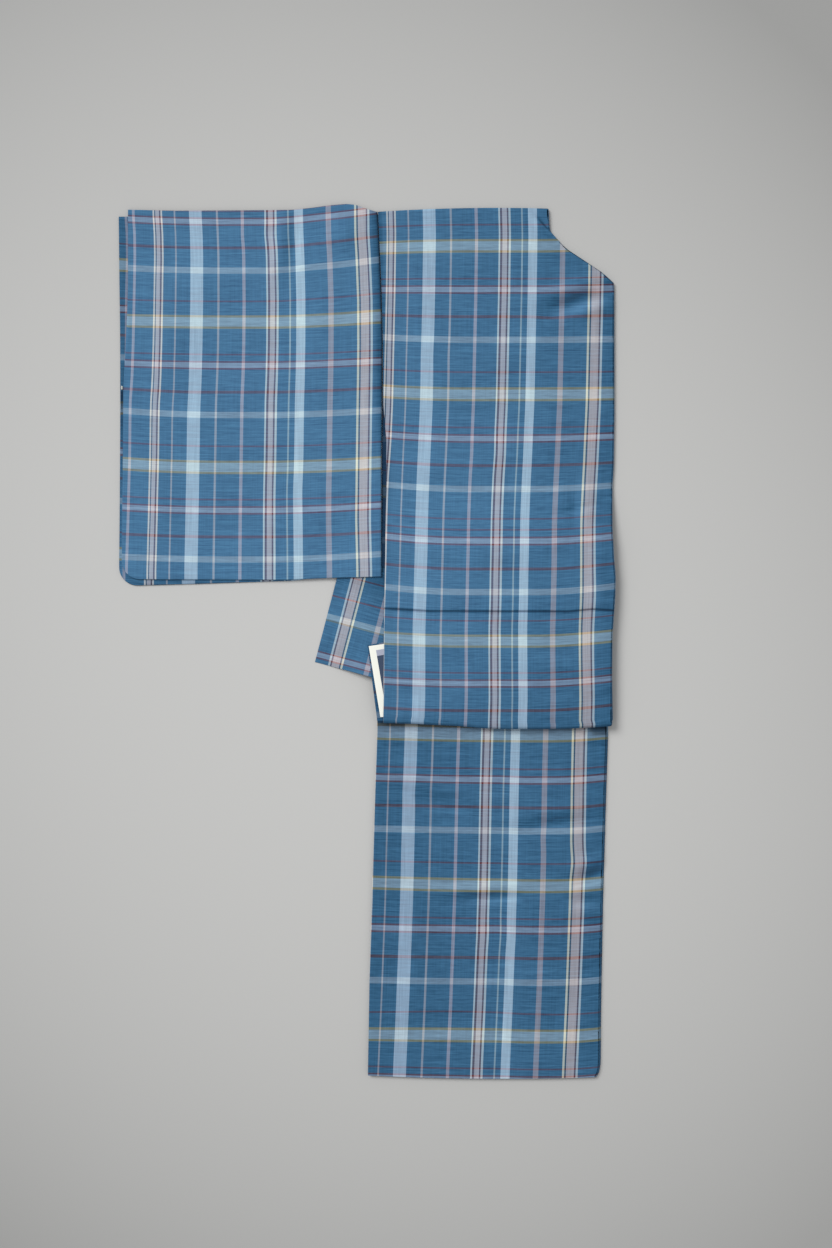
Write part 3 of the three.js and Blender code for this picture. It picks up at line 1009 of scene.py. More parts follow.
@dataclass
class PilePath:
    """The middle line of the folded body's pile, row by row, in the plane of y and z.

    It runs from the shoulder along the surface, climbs an eased ramp over the hidden fold, turns back in
    a half circle at the waist, turns again in a half circle and runs to the hem. `side` is the direction
    from the pile's middle to the side that shows on top.
    """

    spacing: float = 5.0
    turn_steps: int = 14
    shoulder_round: bool = False
    start_y: float = SHOULDER_Y
    end_y: float = HEM_Y
    edge_half: float = CLOTH / 2
    stretch: np.ndarray = field(init=False)
    table_y: np.ndarray = field(init=False)
    centre: np.ndarray = field(init=False)
    side: np.ndarray = field(init=False)
    length: np.ndarray = field(init=False)

    def __post_init__(self) -> None:
        """Work out the rows, stretch by stretch."""
        outside = PILE + GAP / 2
        waist, inner = WAIST_FOLD_Y + outside, INNER_FOLD_Y - outside
        parts = [self._shoulder()] if self.shoulder_round else []
        parts += [
            self._upper(waist),
            self._turn(Stretch.WAIST, waist, (LEVEL_UPPER + LEVEL_MIDDLE) / 2, -1),
            self._flat(np.arange(waist + FIRST_ROW, inner - 2, HIDDEN_SPACING)),
            self._turn(Stretch.INNER, inner, (LEVEL_MIDDLE + LEVEL_LOWER) / 2, 1),
            self._lower(inner),
        ]
        columns = [np.concatenate(c) for c in zip(*parts)]
        self.stretch, self.table_y = columns[0], columns[1]
        self.centre = np.stack([columns[2], columns[3]], -1)
        self.side = np.stack([columns[4], columns[5]], -1)
        steps = np.linalg.norm(np.diff(self.centre + self.side * HALF, axis=0), axis=1)
        self.length = np.concatenate([[0], np.cumsum(steps)])

    def _shoulder(self) -> tuple[np.ndarray, ...]:
        """A quarter turn from the edge's face up to the top: the pile's middle stays where it is and the
        side turns.

        Returns:
            The rows: stretch, y before bending, the middle's y and z, and the side's y and z.
        """
        turn = np.linspace(np.pi / 2, 0, 7)[:-1]
        start = np.linspace(HALF * 0.5, 0, 3)[:-1]
        y = np.full(len(turn) + len(start), self.start_y - HALF)
        z = np.concatenate([LEVEL_LOWER - start, np.full(len(turn), LEVEL_LOWER)])
        angle = np.concatenate([np.full(len(start), np.pi / 2), turn])
        one = np.ones(len(y))
        return one * Stretch.SHOULDER.value, one * SHOULDER_Y, y, z, np.sin(angle), np.cos(angle)

    def _upper(self, end: float) -> tuple[np.ndarray, ...]:
        """The stretch that shows from the shoulder to the waist, with closer rows at the tucks and corners.

        Args:
            end: The y where the waist's turn begins.

        Returns:
            The rows, as in _shoulder.
        """
        start = self.start_y - (HALF if self.shoulder_round else 0)
        even = np.arange(start - FIRST_ROW, end + LAST_ROW, -self.spacing)
        near = [] if self.shoulder_round else start - np.append(ROUND_EDGE, 2) * self.edge_half
        tuck = TUCK_Y + np.concatenate([np.linspace(-8, 8, 17), np.linspace(-TUCK_BELOW, 1.6, 22)])
        hidden = HIDDEN_TUCK_Y + np.array([-0.6, -0.08, 0.08, 0.6])
        corners = np.concatenate([np.arange(low, high, 1.5) for low, high in NECK_CORNERS])
        corners = corners[corners < start]
        y = np.unique(np.round(np.concatenate([even, near, [start], corners, tuck, hidden]), 3))[::-1]
        climb = LEVEL_UPPER - LEVEL_LOWER
        share = [1 - smooth(y + step, RAMP_END_Y, RAMP_START_Y) for step in (-0.5, 0, 0.5)]
        slope = climb * (share[0] - share[2])
        long = np.hypot(1, slope)
        one = np.ones(len(y))
        return one * Stretch.UPPER.value, y, y, LEVEL_LOWER + climb * share[1], slope / long, 1 / long

    def _turn(self, stretch: Stretch, y: float, z: float, way: int) -> tuple[np.ndarray, ...]:
        """A fold: a half circle from its top to its bottom.

        Args:
            stretch: Which fold it is.
            y: The circle's middle.
            z: The circle's middle.
            way: 1 where it goes round by greater y, -1 by smaller.

        Returns:
            The rows, as in _shoulder.
        """
        angle = np.pi / 2 - way * np.pi * np.linspace(0, 1, self.turn_steps + 1)
        radius = (PILE + GAP) / 2
        rows_y, rows_z = y + radius * np.cos(angle), z + radius * np.sin(angle)
        one = np.ones(len(angle))
        return one * stretch.value, rows_y, rows_y, rows_z, -way * np.cos(angle), -way * np.sin(angle)

    def _flat(self, y: np.ndarray) -> tuple[np.ndarray, ...]:
        """The stretch that lies turned over between the two folds."""
        one = np.ones(len(y))
        return one * Stretch.MIDDLE.value, y, y, one * LEVEL_MIDDLE, one * 0, -one

    def _lower(self, start: float) -> tuple[np.ndarray, ...]:
        """The stretch from the hidden fold to the hem, rounded at the hem's edge.

        Args:
            start: The y where the hidden fold ends.

        Returns:
            The rows, as in _shoulder.
        """
        even = np.arange(start - FIRST_ROW, self.end_y + LAST_ROW, -self.spacing)
        near = self.end_y + np.append(ROUND_EDGE, 2)[::-1] * self.edge_half
        y = np.concatenate([even, near])
        one = np.ones(len(y))
        return one * Stretch.LOWER.value, y, y, one * LEVEL_LOWER, one * 0, one

    def edges(self, inner: bool, past: float) -> tuple[np.ndarray, np.ndarray]:
        """The left and right edge of a panel at each row.

        Args:
            inner: Whether it lies inside the pile and stays back from the pieces at the waist.
            past: How far its right edge shows beside the others on the lower stretch.

        Returns:
            Two arrays of x.
        """
        y = self.table_y
        upper = self.stretch <= Stretch.WAIST.value
        lower = self.stretch == Stretch.LOWER.value
        left = np.select([upper, lower], [UPPER_LEFT.at(y), LOWER_LEFT.at(y)], MIDDLE_LEFT.at(y))
        right = np.select([upper, lower], [UPPER_RIGHT.at(y), LOWER_RIGHT.at(y)], MIDDLE_RIGHT.at(y))
        if inner:
            seam = ARMHOLE_SEAM.at(y) + 2 * GAP
            left = np.where(upper, np.where(y < TUCKED_IN_Y, TUCKED_IN_X, seam), left)
        return left, right + np.where(lower, past * smooth(-y, -INNER_FOLD_Y, 0), 0)


def tuck_shift(stretch: np.ndarray, y: np.ndarray, x: np.ndarray) -> np.ndarray:
    """How far the rows about the tuck move to follow its uneven line, fading out over 25 mm."""
    on = np.where(stretch == Stretch.UPPER.value, bell(y - TUCK_Y, 25), 0)[:, None]
    return on * (TUCK_LINE.at(x) - TUCK_Y)


def tuck_groove(stretch: np.ndarray, y: np.ndarray) -> np.ndarray:
    """How deep the tuck's groove is at each row, from 0 to 1: it falls fast from above, rises slowly."""
    above, below = smooth(y, TUCK_Y + TUCK_ABOVE, TUCK_Y + 0.2), smooth(y, TUCK_Y - TUCK_BELOW, TUCK_Y)
    return np.where(stretch == Stretch.UPPER.value, np.where(y > TUCK_Y, above, below), 0)[:, None]


def body_across(upper: np.ndarray, lower: np.ndarray, row_y: np.ndarray, x: np.ndarray,
                y: np.ndarray) -> np.ndarray:
    """Where each point of a back panel lies across the bolt: x plus the stripes' shift at that y, less
    their fan, which grows with the distance from the first wide stripe, and a little more where the left
    edge rolls under and less where the right one swells.

    Args:
        upper: Which rows are on the upper stretch.
        lower: Which rows are on the lower stretch.
        row_y: Each row's y before it was bent.
        x: Each point's x.
        y: Each point's y.

    Returns:
        Millimetres across the bolt.
    """
    fan = (x - FAN_START_X) / FAN_WIDTH
    swell = SWELL * bell(y - SWELL_Y, SWELL_LENGTH) * smooth(x, *SWELL_X)
    on_upper = x + UPPER_SHIFT.at(y) - UPPER_FAN.at(y) * fan - swell + EDGE_ROLL.at(x, y)
    on_lower = x + LOWER_SHIFT.at(y) - LOWER_FAN.at(y) * fan
    between = x + MIDDLE_SHIFT.at(row_y)[:, None] - MIDDLE_FAN * fan
    return np.where(upper, on_upper, np.where(lower, on_lower, between))


def body_uv(stretch: np.ndarray, row_y: np.ndarray, x: np.ndarray, y: np.ndarray,
            length: np.ndarray) -> np.ndarray:
    """Where each point of a back panel lies on the bolt. Across it is as in body_across. Along it is a
    table of y, after the bands' bows are taken off, with a jump at each tuck. Where the panel is folded
    in, it grows with the length of the path.

    Args:
        stretch: Each row's stretch number.
        row_y: Each row's y before it was bent.
        x: Each point's x.
        y: Each point's y.
        length: Each row's length along the path.

    Returns:
        Millimetres across and along the bolt for each point.
    """
    upper = (stretch <= Stretch.UPPER.value)[:, None]
    lower = (stretch == Stretch.LOWER.value)[:, None]
    x, y = pulled(PULLS, x, y)
    across = body_across(upper, lower, row_y, x, y)
    straight = y + sum(bow.at(x, y) for bow in UPPER_BOWS)
    first = ABOVE_HIDDEN_TUCK.at(np.maximum(straight, HIDDEN_TUCK_Y))
    below = np.where((row_y > TUCK_Y)[:, None], ABOVE_TUCK.at(straight), BELOW_TUCK.at(straight))
    on_upper = np.where((row_y > HIDDEN_TUCK_Y)[:, None], first, below)
    on_lower = LOWER_ALONG.at(y + sum(bow.at(x, y) for bow in (*LOWER_BOWS, LOW_PUCKER)))
    between = length[(stretch > Stretch.UPPER.value) & (stretch < Stretch.LOWER.value)]
    folded_in = np.interp(length, [between[0], between[-1]], FOLDED_IN_ALONG)[:, None]
    return np.stack([across, np.where(upper, on_upper, np.where(lower, on_lower, folded_in))], -1)


# How much a painted highlight brightens the cloth where it turns down at the back seam.
SEAM_TURN_HIGHLIGHT = 0.4


@dataclass
class Layer:
    """One layer of the folded body: a wall between two heights in the pile, carried along the path.

    A point is centre + n * side for its height n, at x between the row's edges, with some closer columns
    in the last tenth. With a turned-down back seam, the right edge goes on in a quarter circle about the
    pile's middle and then straight down.
    """

    name: str
    low: float
    high: float
    path: PilePath
    columns: int
    # Gives each point's painted light and shade from its stretch, x and y.
    painted_light: Callable[[np.ndarray, np.ndarray, np.ndarray], np.ndarray]
    close: int = 0
    seam_turn: bool = False
    inner: bool = False
    past: float = 0.0
    inset: tuple[float, float] = (0.0, 0.0)
    waviness: float = 0.0
    bolt_shift: tuple[float, float] = (0.0, 0.0)
    creases: tuple[Crease, ...] = ()
    tuck_depth: float = 0.0

    def section(self) -> tuple[np.ndarray, ...]:
        """The layer's section across: share of the width, distance past it, height, and direction.

        Returns:
            u, dx, n, and the parts of the direction out along x and along the pile's side.
        """
        middle = (self.low + self.high) / 2
        half = (self.high - self.low) / 2
        near = ROUND_EDGE * half
        even = np.linspace(0, 1, self.columns)
        inside = np.unique(np.concatenate([even, np.linspace(0.9, 1, self.close + 2)]))[1:-1]
        if not self.seam_turn:
            u = np.concatenate([near * 0, inside, near * 0 + 1])
            dx = np.concatenate([near, inside * 0, -near[::-1]])
            return u, dx, np.full(len(u), middle), u * 0, u * 0 + 1
        turn = np.linspace(0, np.pi / 2, 8)
        down = -np.array([CORE / 4, CORE / 2 + 0.1])
        flat, end = np.zeros(len(near) + len(inside)), np.ones(len(down))
        u = np.concatenate([near * 0, inside, turn * 0 + 1, end])
        dx = np.concatenate([near, inside * 0, middle * np.sin(turn) - HALF, end * (middle - HALF)])
        n = np.concatenate([flat + middle, middle * np.cos(turn), down])
        out_x = np.concatenate([flat, np.sin(turn), end])
        return u, dx, n, out_x, np.concatenate([flat + 1, np.cos(turn), end * 0])

    def build(self) -> bpy.types.Object:
        """Make the layer.

        Returns:
            The object.
        """
        path = self.path
        stretch, row_y = path.stretch, path.table_y
        u, dx, n, out_x, out_side = self.section()
        left, right = path.edges(self.inner, self.past)
        wave = np.sin(path.length / 31 + self.high) + 0.6 * np.sin(path.length / 12.7 + 3 * self.low)
        left = left + self.inset[0] + self.waviness * wave
        right = right - self.inset[1] + 0.7 * self.waviness * wave
        x = left[:, None] + (right - left)[:, None] * u + dx
        shift = sum(bow.shift(stretch, row_y, u) for bow in BOWS) + tuck_shift(stretch, row_y, x)
        plan_y = row_y[:, None] + shift
        shows = np.isin(stretch, [Stretch.UPPER.value, Stretch.LOWER.value])[:, None]
        groove = self.tuck_depth * tuck_groove(stretch, row_y)
        lift = np.where(shows, relief(self.creases, x, plan_y), 0) - groove
        height = n + lift * np.clip(out_side, 0, 1)
        y = path.centre[:, :1] + height * path.side[:, :1] + shift
        z = path.centre[:, 1:] + height * path.side[:, 1:]
        out = (np.broadcast_to(out_x, x.shape), out_side * path.side[:, :1], out_side * path.side[:, 1:])
        uv = body_uv(stretch, row_y, x, y, path.length) + np.array(self.bolt_shift)
        # Painted light and shade: the body's painted shade, a painted highlight where the cloth turns down at
        # the back seam, and painted light and shade on the creases' slopes.
        painted_light = self.painted_light(stretch[:, None], x, y) * (1 + SEAM_TURN_HIGHLIGHT * out_x)
        painted_light = painted_light * np.where(shows, window_side(self.creases, x, plan_y, 1.3), 1)
        from_right = np.abs(x - x[:, -1:]) + (np.abs(n - n[-1]) if self.seam_turn else 0)
        across = np.minimum(np.abs(x - x[:, :1]), from_right)
        down = np.minimum(path.length, path.length[-1] - path.length)[:, None]
        wall = Wall(np.stack([x, y, z], -1), np.stack(out, -1), self.high - self.low, uv,
                    np.minimum(across, down), painted_light)
        return wall.build(self.name)


# How much less light the body gets, across it and along it.
UPPER_SHADE_ACROSS = Table(30, (
    (20, 0.10), (60, 0.05), (126, 0.11), (200, 0.13), (242, 0.2), (300, 0.19), (326, 0.31),
))
UPPER_SHADE_ALONG = Table(12, (
    (577, 0.09), (500, 0.05), (300, 0.0), (112, -0.03), (0, 0.02), (-74, 0.07), (-114, 0.09),
))
WAIST_SHADE = Table(6, ((-84, 0.0), (-100, 0.07), (-109, 0.22), (-116, 0.4)))
LOWER_SHADE_ACROSS = Table(30, (
    (8, 0.33), (60, 0.28), (130, 0.26), (186, 0.2), (230, 0.27), (290, 0.29), (318, 0.34),
))
LOWER_SHADE_ALONG = Table(8, (
    (-110, 0.34), (-118, 0.2), (-128, 0.08), (-140, 0.0), (-400, 0.02), (-580, 0.03),
))
TUCK_SHADE, TUCK_SHADE_WIDTH = 0.62, 1.8
# Beside the armhole x counts from the panel's edge.
ARMHOLE_SHADE = Patch(0.35, 7, 0, 20, 260)
CORNER_SHADE = Patch(0.2, 288, 304, -130, -121)
GAP_TONE = 0.3

# Painted shade along the line where the collar's own cloth lies on the neck's corner, and how dark it is.
NECK_LINE = Crease(235, 554, 13, 1.3, -46, 1.0)
NECK_SHADE = 0.45


def body_light_and_shade(stretch: np.ndarray, x: np.ndarray, y: np.ndarray) -> np.ndarray:
    """The body's painted light and shade: painted shade at the shoulder, at the waist's fold and towards the
    back seam, most on the lower stretch, and deepest in the tuck's seam.

    Args:
        stretch: Each row's stretch number.
        x: Each point's x.
        y: Each point's y.

    Returns:
        The brightness.
    """
    lower = stretch == Stretch.LOWER.value
    upper = 1 - UPPER_SHADE_ACROSS.at(x) - UPPER_SHADE_ALONG.at(y)
    upper = upper - WAIST_SHADE.at(y) * (1 - 0.8 * smooth(x, 50, 170))
    upper = upper * (1 - ARMHOLE_SHADE.at(x - UPPER_LEFT.at(y), y))
    seam = bell(y - TUCK_LINE.at(x) + 0.5, TUCK_SHADE_WIDTH)
    upper = upper * (1 - TUCK_SHADE * seam) * (1 - NECK_SHADE * NECK_LINE.lift(x, y))
    low = 1 - LOWER_SHADE_ACROSS.at(x) - LOWER_SHADE_ALONG.at(y) - CORNER_SHADE.at(x, y)
    return np.where(lower, low, upper)


def inner_tone(stretch: np.ndarray, x: np.ndarray, y: np.ndarray) -> np.ndarray:
    """The inner layers' brightness: deep shade in the gap beside the sleeve.

    Args:
        stretch: Each row's stretch number.
        x: Each point's x.
        y: Each point's y.

    Returns:
        The brightness.
    """
    gap = (stretch == Stretch.UPPER.value) & (x < 34) & (y > 60)
    return np.where(gap, GAP_TONE, 1.0)


LAYER_GAP = 0.03


@dataclass
class FoldedBody:
    """Both back panels and the layers pressed between them."""

    silk: bpy.types.Material
    shaded: bpy.types.Material
    width: float = 306.0
    shown_length: float = 1612.0
    creases: tuple[Crease, ...] = (
        Crease(236, 555, 13, 2.2, -48, -1.3), Crease(230, 549, 15, 4, -48, 0.9),
        Crease(279, 176, 30, 5, 14, -0.7), Crease(279, 451, 36, 10, 18, -2.7),
        Crease(270, 470, 42, 11, 14, 1.3), Crease(296, 440, 30, 9, 20, 0.9),
        Crease(276, 176, 9, 26, 0, -0.99), Crease(290, 190, 12, 34, -6, 0.72),
        Crease(120, 505, 46, 16, -8, 0.63), Crease(70, 460, 14, 60, 4, 0.54),
        Crease(200, 380, 70, 22, 6, 0.54), Crease(150, 300, 60, 18, -5, -0.54),
        Crease(90, 230, 50, 16, 3, 0.63), Crease(250, 300, 18, 60, 5, 0.54),
        Crease(180, 120, 90, 18, 2, 0.63), Crease(80, 100, 40, 14, -6, -0.54),
        Crease(305, 75, 14, 40, 5, 0.9), Crease(120, 10, 60, 16, 4, 0.54),
        Crease(240, -30, 70, 14, -3, 0.63), Crease(60, -70, 40, 12, 5, -0.45),
        Crease(300, -312, 24, 8, 12, -2.4), Crease(296, -293, 24, 8, 12, 1.4),
        Crease(292, -345, 22, 8, -8, -1.3), Crease(284, -360, 24, 9, -6, 0.9),
        Crease(163, -340, 44, 6, 3, -1.3), Crease(150, -329, 48, 8, 2, 1.2),
        Crease(95, -215, 44, 11, -14, -1.1), Crease(250, -243, 48, 9, 8, -1.5),
        Crease(246, -226, 50, 10, 6, 0.9), Crease(80, -190, 50, 14, -10, 0.72),
        Crease(230, -200, 60, 20, 5, 0.63), Crease(60, -420, 26, 60, 8, 0.63),
        Crease(220, -450, 70, 16, -4, 0.72), Crease(120, -500, 60, 14, 6, -0.54),
        Crease(280, -520, 22, 40, 2, 0.63),
    )

    def build(self) -> list[bpy.types.Object]:
        """Build and dress every layer.

        Returns:
            The pieces, top one first.
        """
        flat = (self.width, self.shown_length)
        top = Layer("back_panel_left", HALF - CLOTH, HALF, PilePath(shoulder_round=True), 76, body_light_and_shade,
                    close=22, seam_turn=True, creases=self.creases, tuck_depth=0.7)
        under = Layer("back_panel_right", -HALF, -HALF + CLOTH, PilePath(spacing=10, turn_steps=12), 14,
                      inner_tone, inner=True, past=1.7)
        core = Cloth(self.shaded, "core", "inner_layers", flat)
        return [
            Cloth(self.silk, "body_left", "check_silk", flat).dress(top.build()),
            *(core.dress(layer.build()) for layer in self._core()),
            Cloth(self.shaded, "body_right", "check_silk", flat).dress(under.build()),
        ]

    def _core(self) -> list[Layer]:
        """The layers between the back panels, each of them a third of the core.

        Returns:
            The layers, top one first.
        """
        path = PilePath(spacing=10, turn_steps=12, start_y=SHOULDER_Y - 3.4, end_y=HEM_Y + 1.2,
                        edge_half=CORE / 6)
        lip = CORE / 3
        panels = (
            ("front_left", (0.2, CLOTH + GAP + 0.3), (-17.0, 60.0)),
            ("overlap_panels", (1.2, CLOTH + GAP + 0.9), (95.0, 20.0)),
            ("front_right", (0.6, CLOTH + GAP + 0.4), (30.0, 110.0)),
        )
        layers = []
        for i, (name, inset, bolt_shift) in enumerate(panels):
            high = CORE / 2 - i * lip
            layers.append(Layer(name, high - lip + LAYER_GAP, high - LAYER_GAP, path, 10, inner_tone,
                                inner=True, inset=inset, waviness=0.18, bolt_shift=bolt_shift))
        return layers


# ---- The sleeves ------------------------------------------------------------------------------------
UPPER_SLEEVE_TOP = Table(8, (
    (-331, 574.2), (-262, 572.8), (-170, 573.2), (-103, 573.9), (-76, 576.4), (-47, 580.2), (-26, 581.8),
    (-12.8, 580.4), (-3.2, 576.8), (13.7, 571.4),
))
UPPER_SLEEVE_BOTTOM = Table(20, ((-303, 82.6), (-111, 81.9), (-47, 84.6), (19.4, 85.9)))
UPPER_SLEEVE_WRIST = Table(30, ((575, -317.7), (408, -317.7), (338, -323.9), (215, -324.9), (109, -325.9)))
LOWER_SLEEVE_TOP = Table(8, ((-331, 565.4), (13.7, 567.0)))
LOWER_SLEEVE_BOTTOM = Table(20, (
    (-303, 74.6), (-220, 77.0), (-139, 79.7), (-98, 81.0), (-72, 84.5), (-50, 93.0), (16, 98.0),
))
LOWER_SLEEVE_WRIST = Table(30, ((566, -330.5), (461, -329.3), (340, -327.4), (145, -329.4), (75, -330.2)))
SLOPE_LOW, SLOPE_HIGH = -60.0, 18.0
SLEEVE_CORNER = 24.0
CORNER_Y, SEAM_X = 100.0, 16.0
VALLEY_WIDTH = 9.0
MOUTH_END_Y = 350.0

# Where the sleeves' stripes and bands lie.
SLEEVE_SHIFT_LEFT = Table(20, (
    (568, 1.1), (541, -0.3), (511, -1.0), (455, -0.8), (395, 0.0), (355, 1.1), (319, 3.0), (248, 3.8),
    (162, 5.5), (95, 6.6),
))
SLEEVE_SHIFT_RIGHT = Table(20, (
    (568, 1.6), (541, 1.1), (511, -0.4), (455, -2.1), (395, -2.1), (355, -1.6), (319, -0.8), (248, 0.1),
    (162, 1.0), (95, 0.0),
))
SLEEVE_ALONG = Table(20, (
    (568, -0.9), (520, 0.0), (475, -0.2), (435, -0.9), (360, -0.9), (310, -1.3), (275, -1.9), (230, -1.5),
    (190, -1.0), (115, -0.7),
))
SHIFT_LEFT_X, SHIFT_WIDTH = -228.0, 177.0
SLEEVE_BOLT_X, SLEEVE_BOLT_Y = 330.6, 425.6
UPPER_LEFT_DROP = Patch(2.2, -60, -140, 425, 475)

# The sleeves' painted light: painted shade by the armhole, where x counts from the seam, and at the
# shoulder's fold, a painted highlight on a line inside the lower rim, and painted shade in the slit of the
# mouth.
SEAM_SHADE_WIDE, SEAM_SHADE_NARROW = Patch(0.34, 15, 3, 180, 360), Patch(0.34, 4, 0.5, 180, 360)
FOLD_SHADE = 0.07
RIM_IN, RIM_WIDTH, RIM_Y = 3.6, 1.5, (240, 200)
SLIT_IN, SLIT_HALF, SLIT_TOP_Y = 1.4, 1.9, (336, 333)
SLIT_SHARES = ((0.45, 262, 290), (0.55, 300, 318))

SLEEVE_BOWS = (
    BandBow(-183, -136, 1.2, 2, Table(30, (
        (568, -4.0), (495, -3.7), (425, -1.6), (368, -2.9), (303, -5.5), (233, -4.8), (110, -3.2),
    ))),
    BandBow(-129, 140, 1.1, 1.6, Table(30, (
        (568, -13.3), (535, -13.3), (495, -11.2), (425, -6.4), (368, -5.3), (303, -5.7), (110, -6.4),
    ))),
)

SLEEVE_CREASES = (
    Crease(-115, 535, 12, 46, -8, 1.08), Crease(-98, 520, 9, 40, -6, -0.9),
    Crease(-30, 545, 26, 22, 0, 1.62), Crease(-200, 480, 70, 22, 4, 0.63),
    Crease(-260, 400, 26, 60, -10, 0.72), Crease(-150, 380, 60, 20, 6, -0.54),
    Crease(-60, 400, 24, 70, 3, 0.72), Crease(-240, 300, 60, 18, -8, 0.63),
    Crease(-120, 260, 80, 24, 4, 0.63), Crease(-280, 200, 20, 60, 5, 0.63),
    Crease(-180, 150, 70, 20, -4, -0.54), Crease(-60, 190, 30, 50, -10, 0.63),
)


def pile_slope(x: np.ndarray) -> np.ndarray:
    """How high the pieces at the waist stand over the floor at x."""
    return (LEVEL_UPPER - HALF) * smooth(x, SLOPE_LOW, SLOPE_HIGH)


def upper_sleeve_base(x: np.ndarray, y: np.ndarray) -> np.ndarray:
    """The upper sleeve's underside: on the lower sleeve, climbing onto the waist at its free lower end."""
    climb = LEVEL_UPPER - HALF + CLOTH - SLEEVE
    return SLEEVE + GAP + climb * smooth(x, SLOPE_LOW, SLOPE_HIGH) * (1 - smooth(y, 110, 235))


def floor_base(x: np.ndarray, y: np.ndarray) -> np.ndarray:
    """The floor."""
    return np.zeros(np.broadcast(x, y).shape)


def sleeve_uv(x: np.ndarray, y: np.ndarray) -> np.ndarray:
    """Where each point of a sleeve lies on the bolt: x plus a shift that goes evenly from one table to
    the other across the sleeve, and y less a bow that grows towards both sides, corrected by a table and,
    at the sleeve's upper left, by 2.2 mm.

    Args:
        x: Each point's x.
        y: Each point's y.

    Returns:
        Millimetres across and along the bolt.
    """
    x, y = pulled(SLEEVE_PULLS, x, y)
    share = (x - SHIFT_LEFT_X) / SHIFT_WIDTH
    shift = SLEEVE_SHIFT_LEFT.at(y) * (1 - share) + SLEEVE_SHIFT_RIGHT.at(y) * share
    bow = sum(bow.at(x, y) for bow in SLEEVE_BOWS)
    moved = SLEEVE_ALONG.at(y) - UPPER_LEFT_DROP.at(x, y)
    return np.stack([x + SLEEVE_BOLT_X + shift, SLEEVE_BOLT_Y - y - bow + moved], -1)


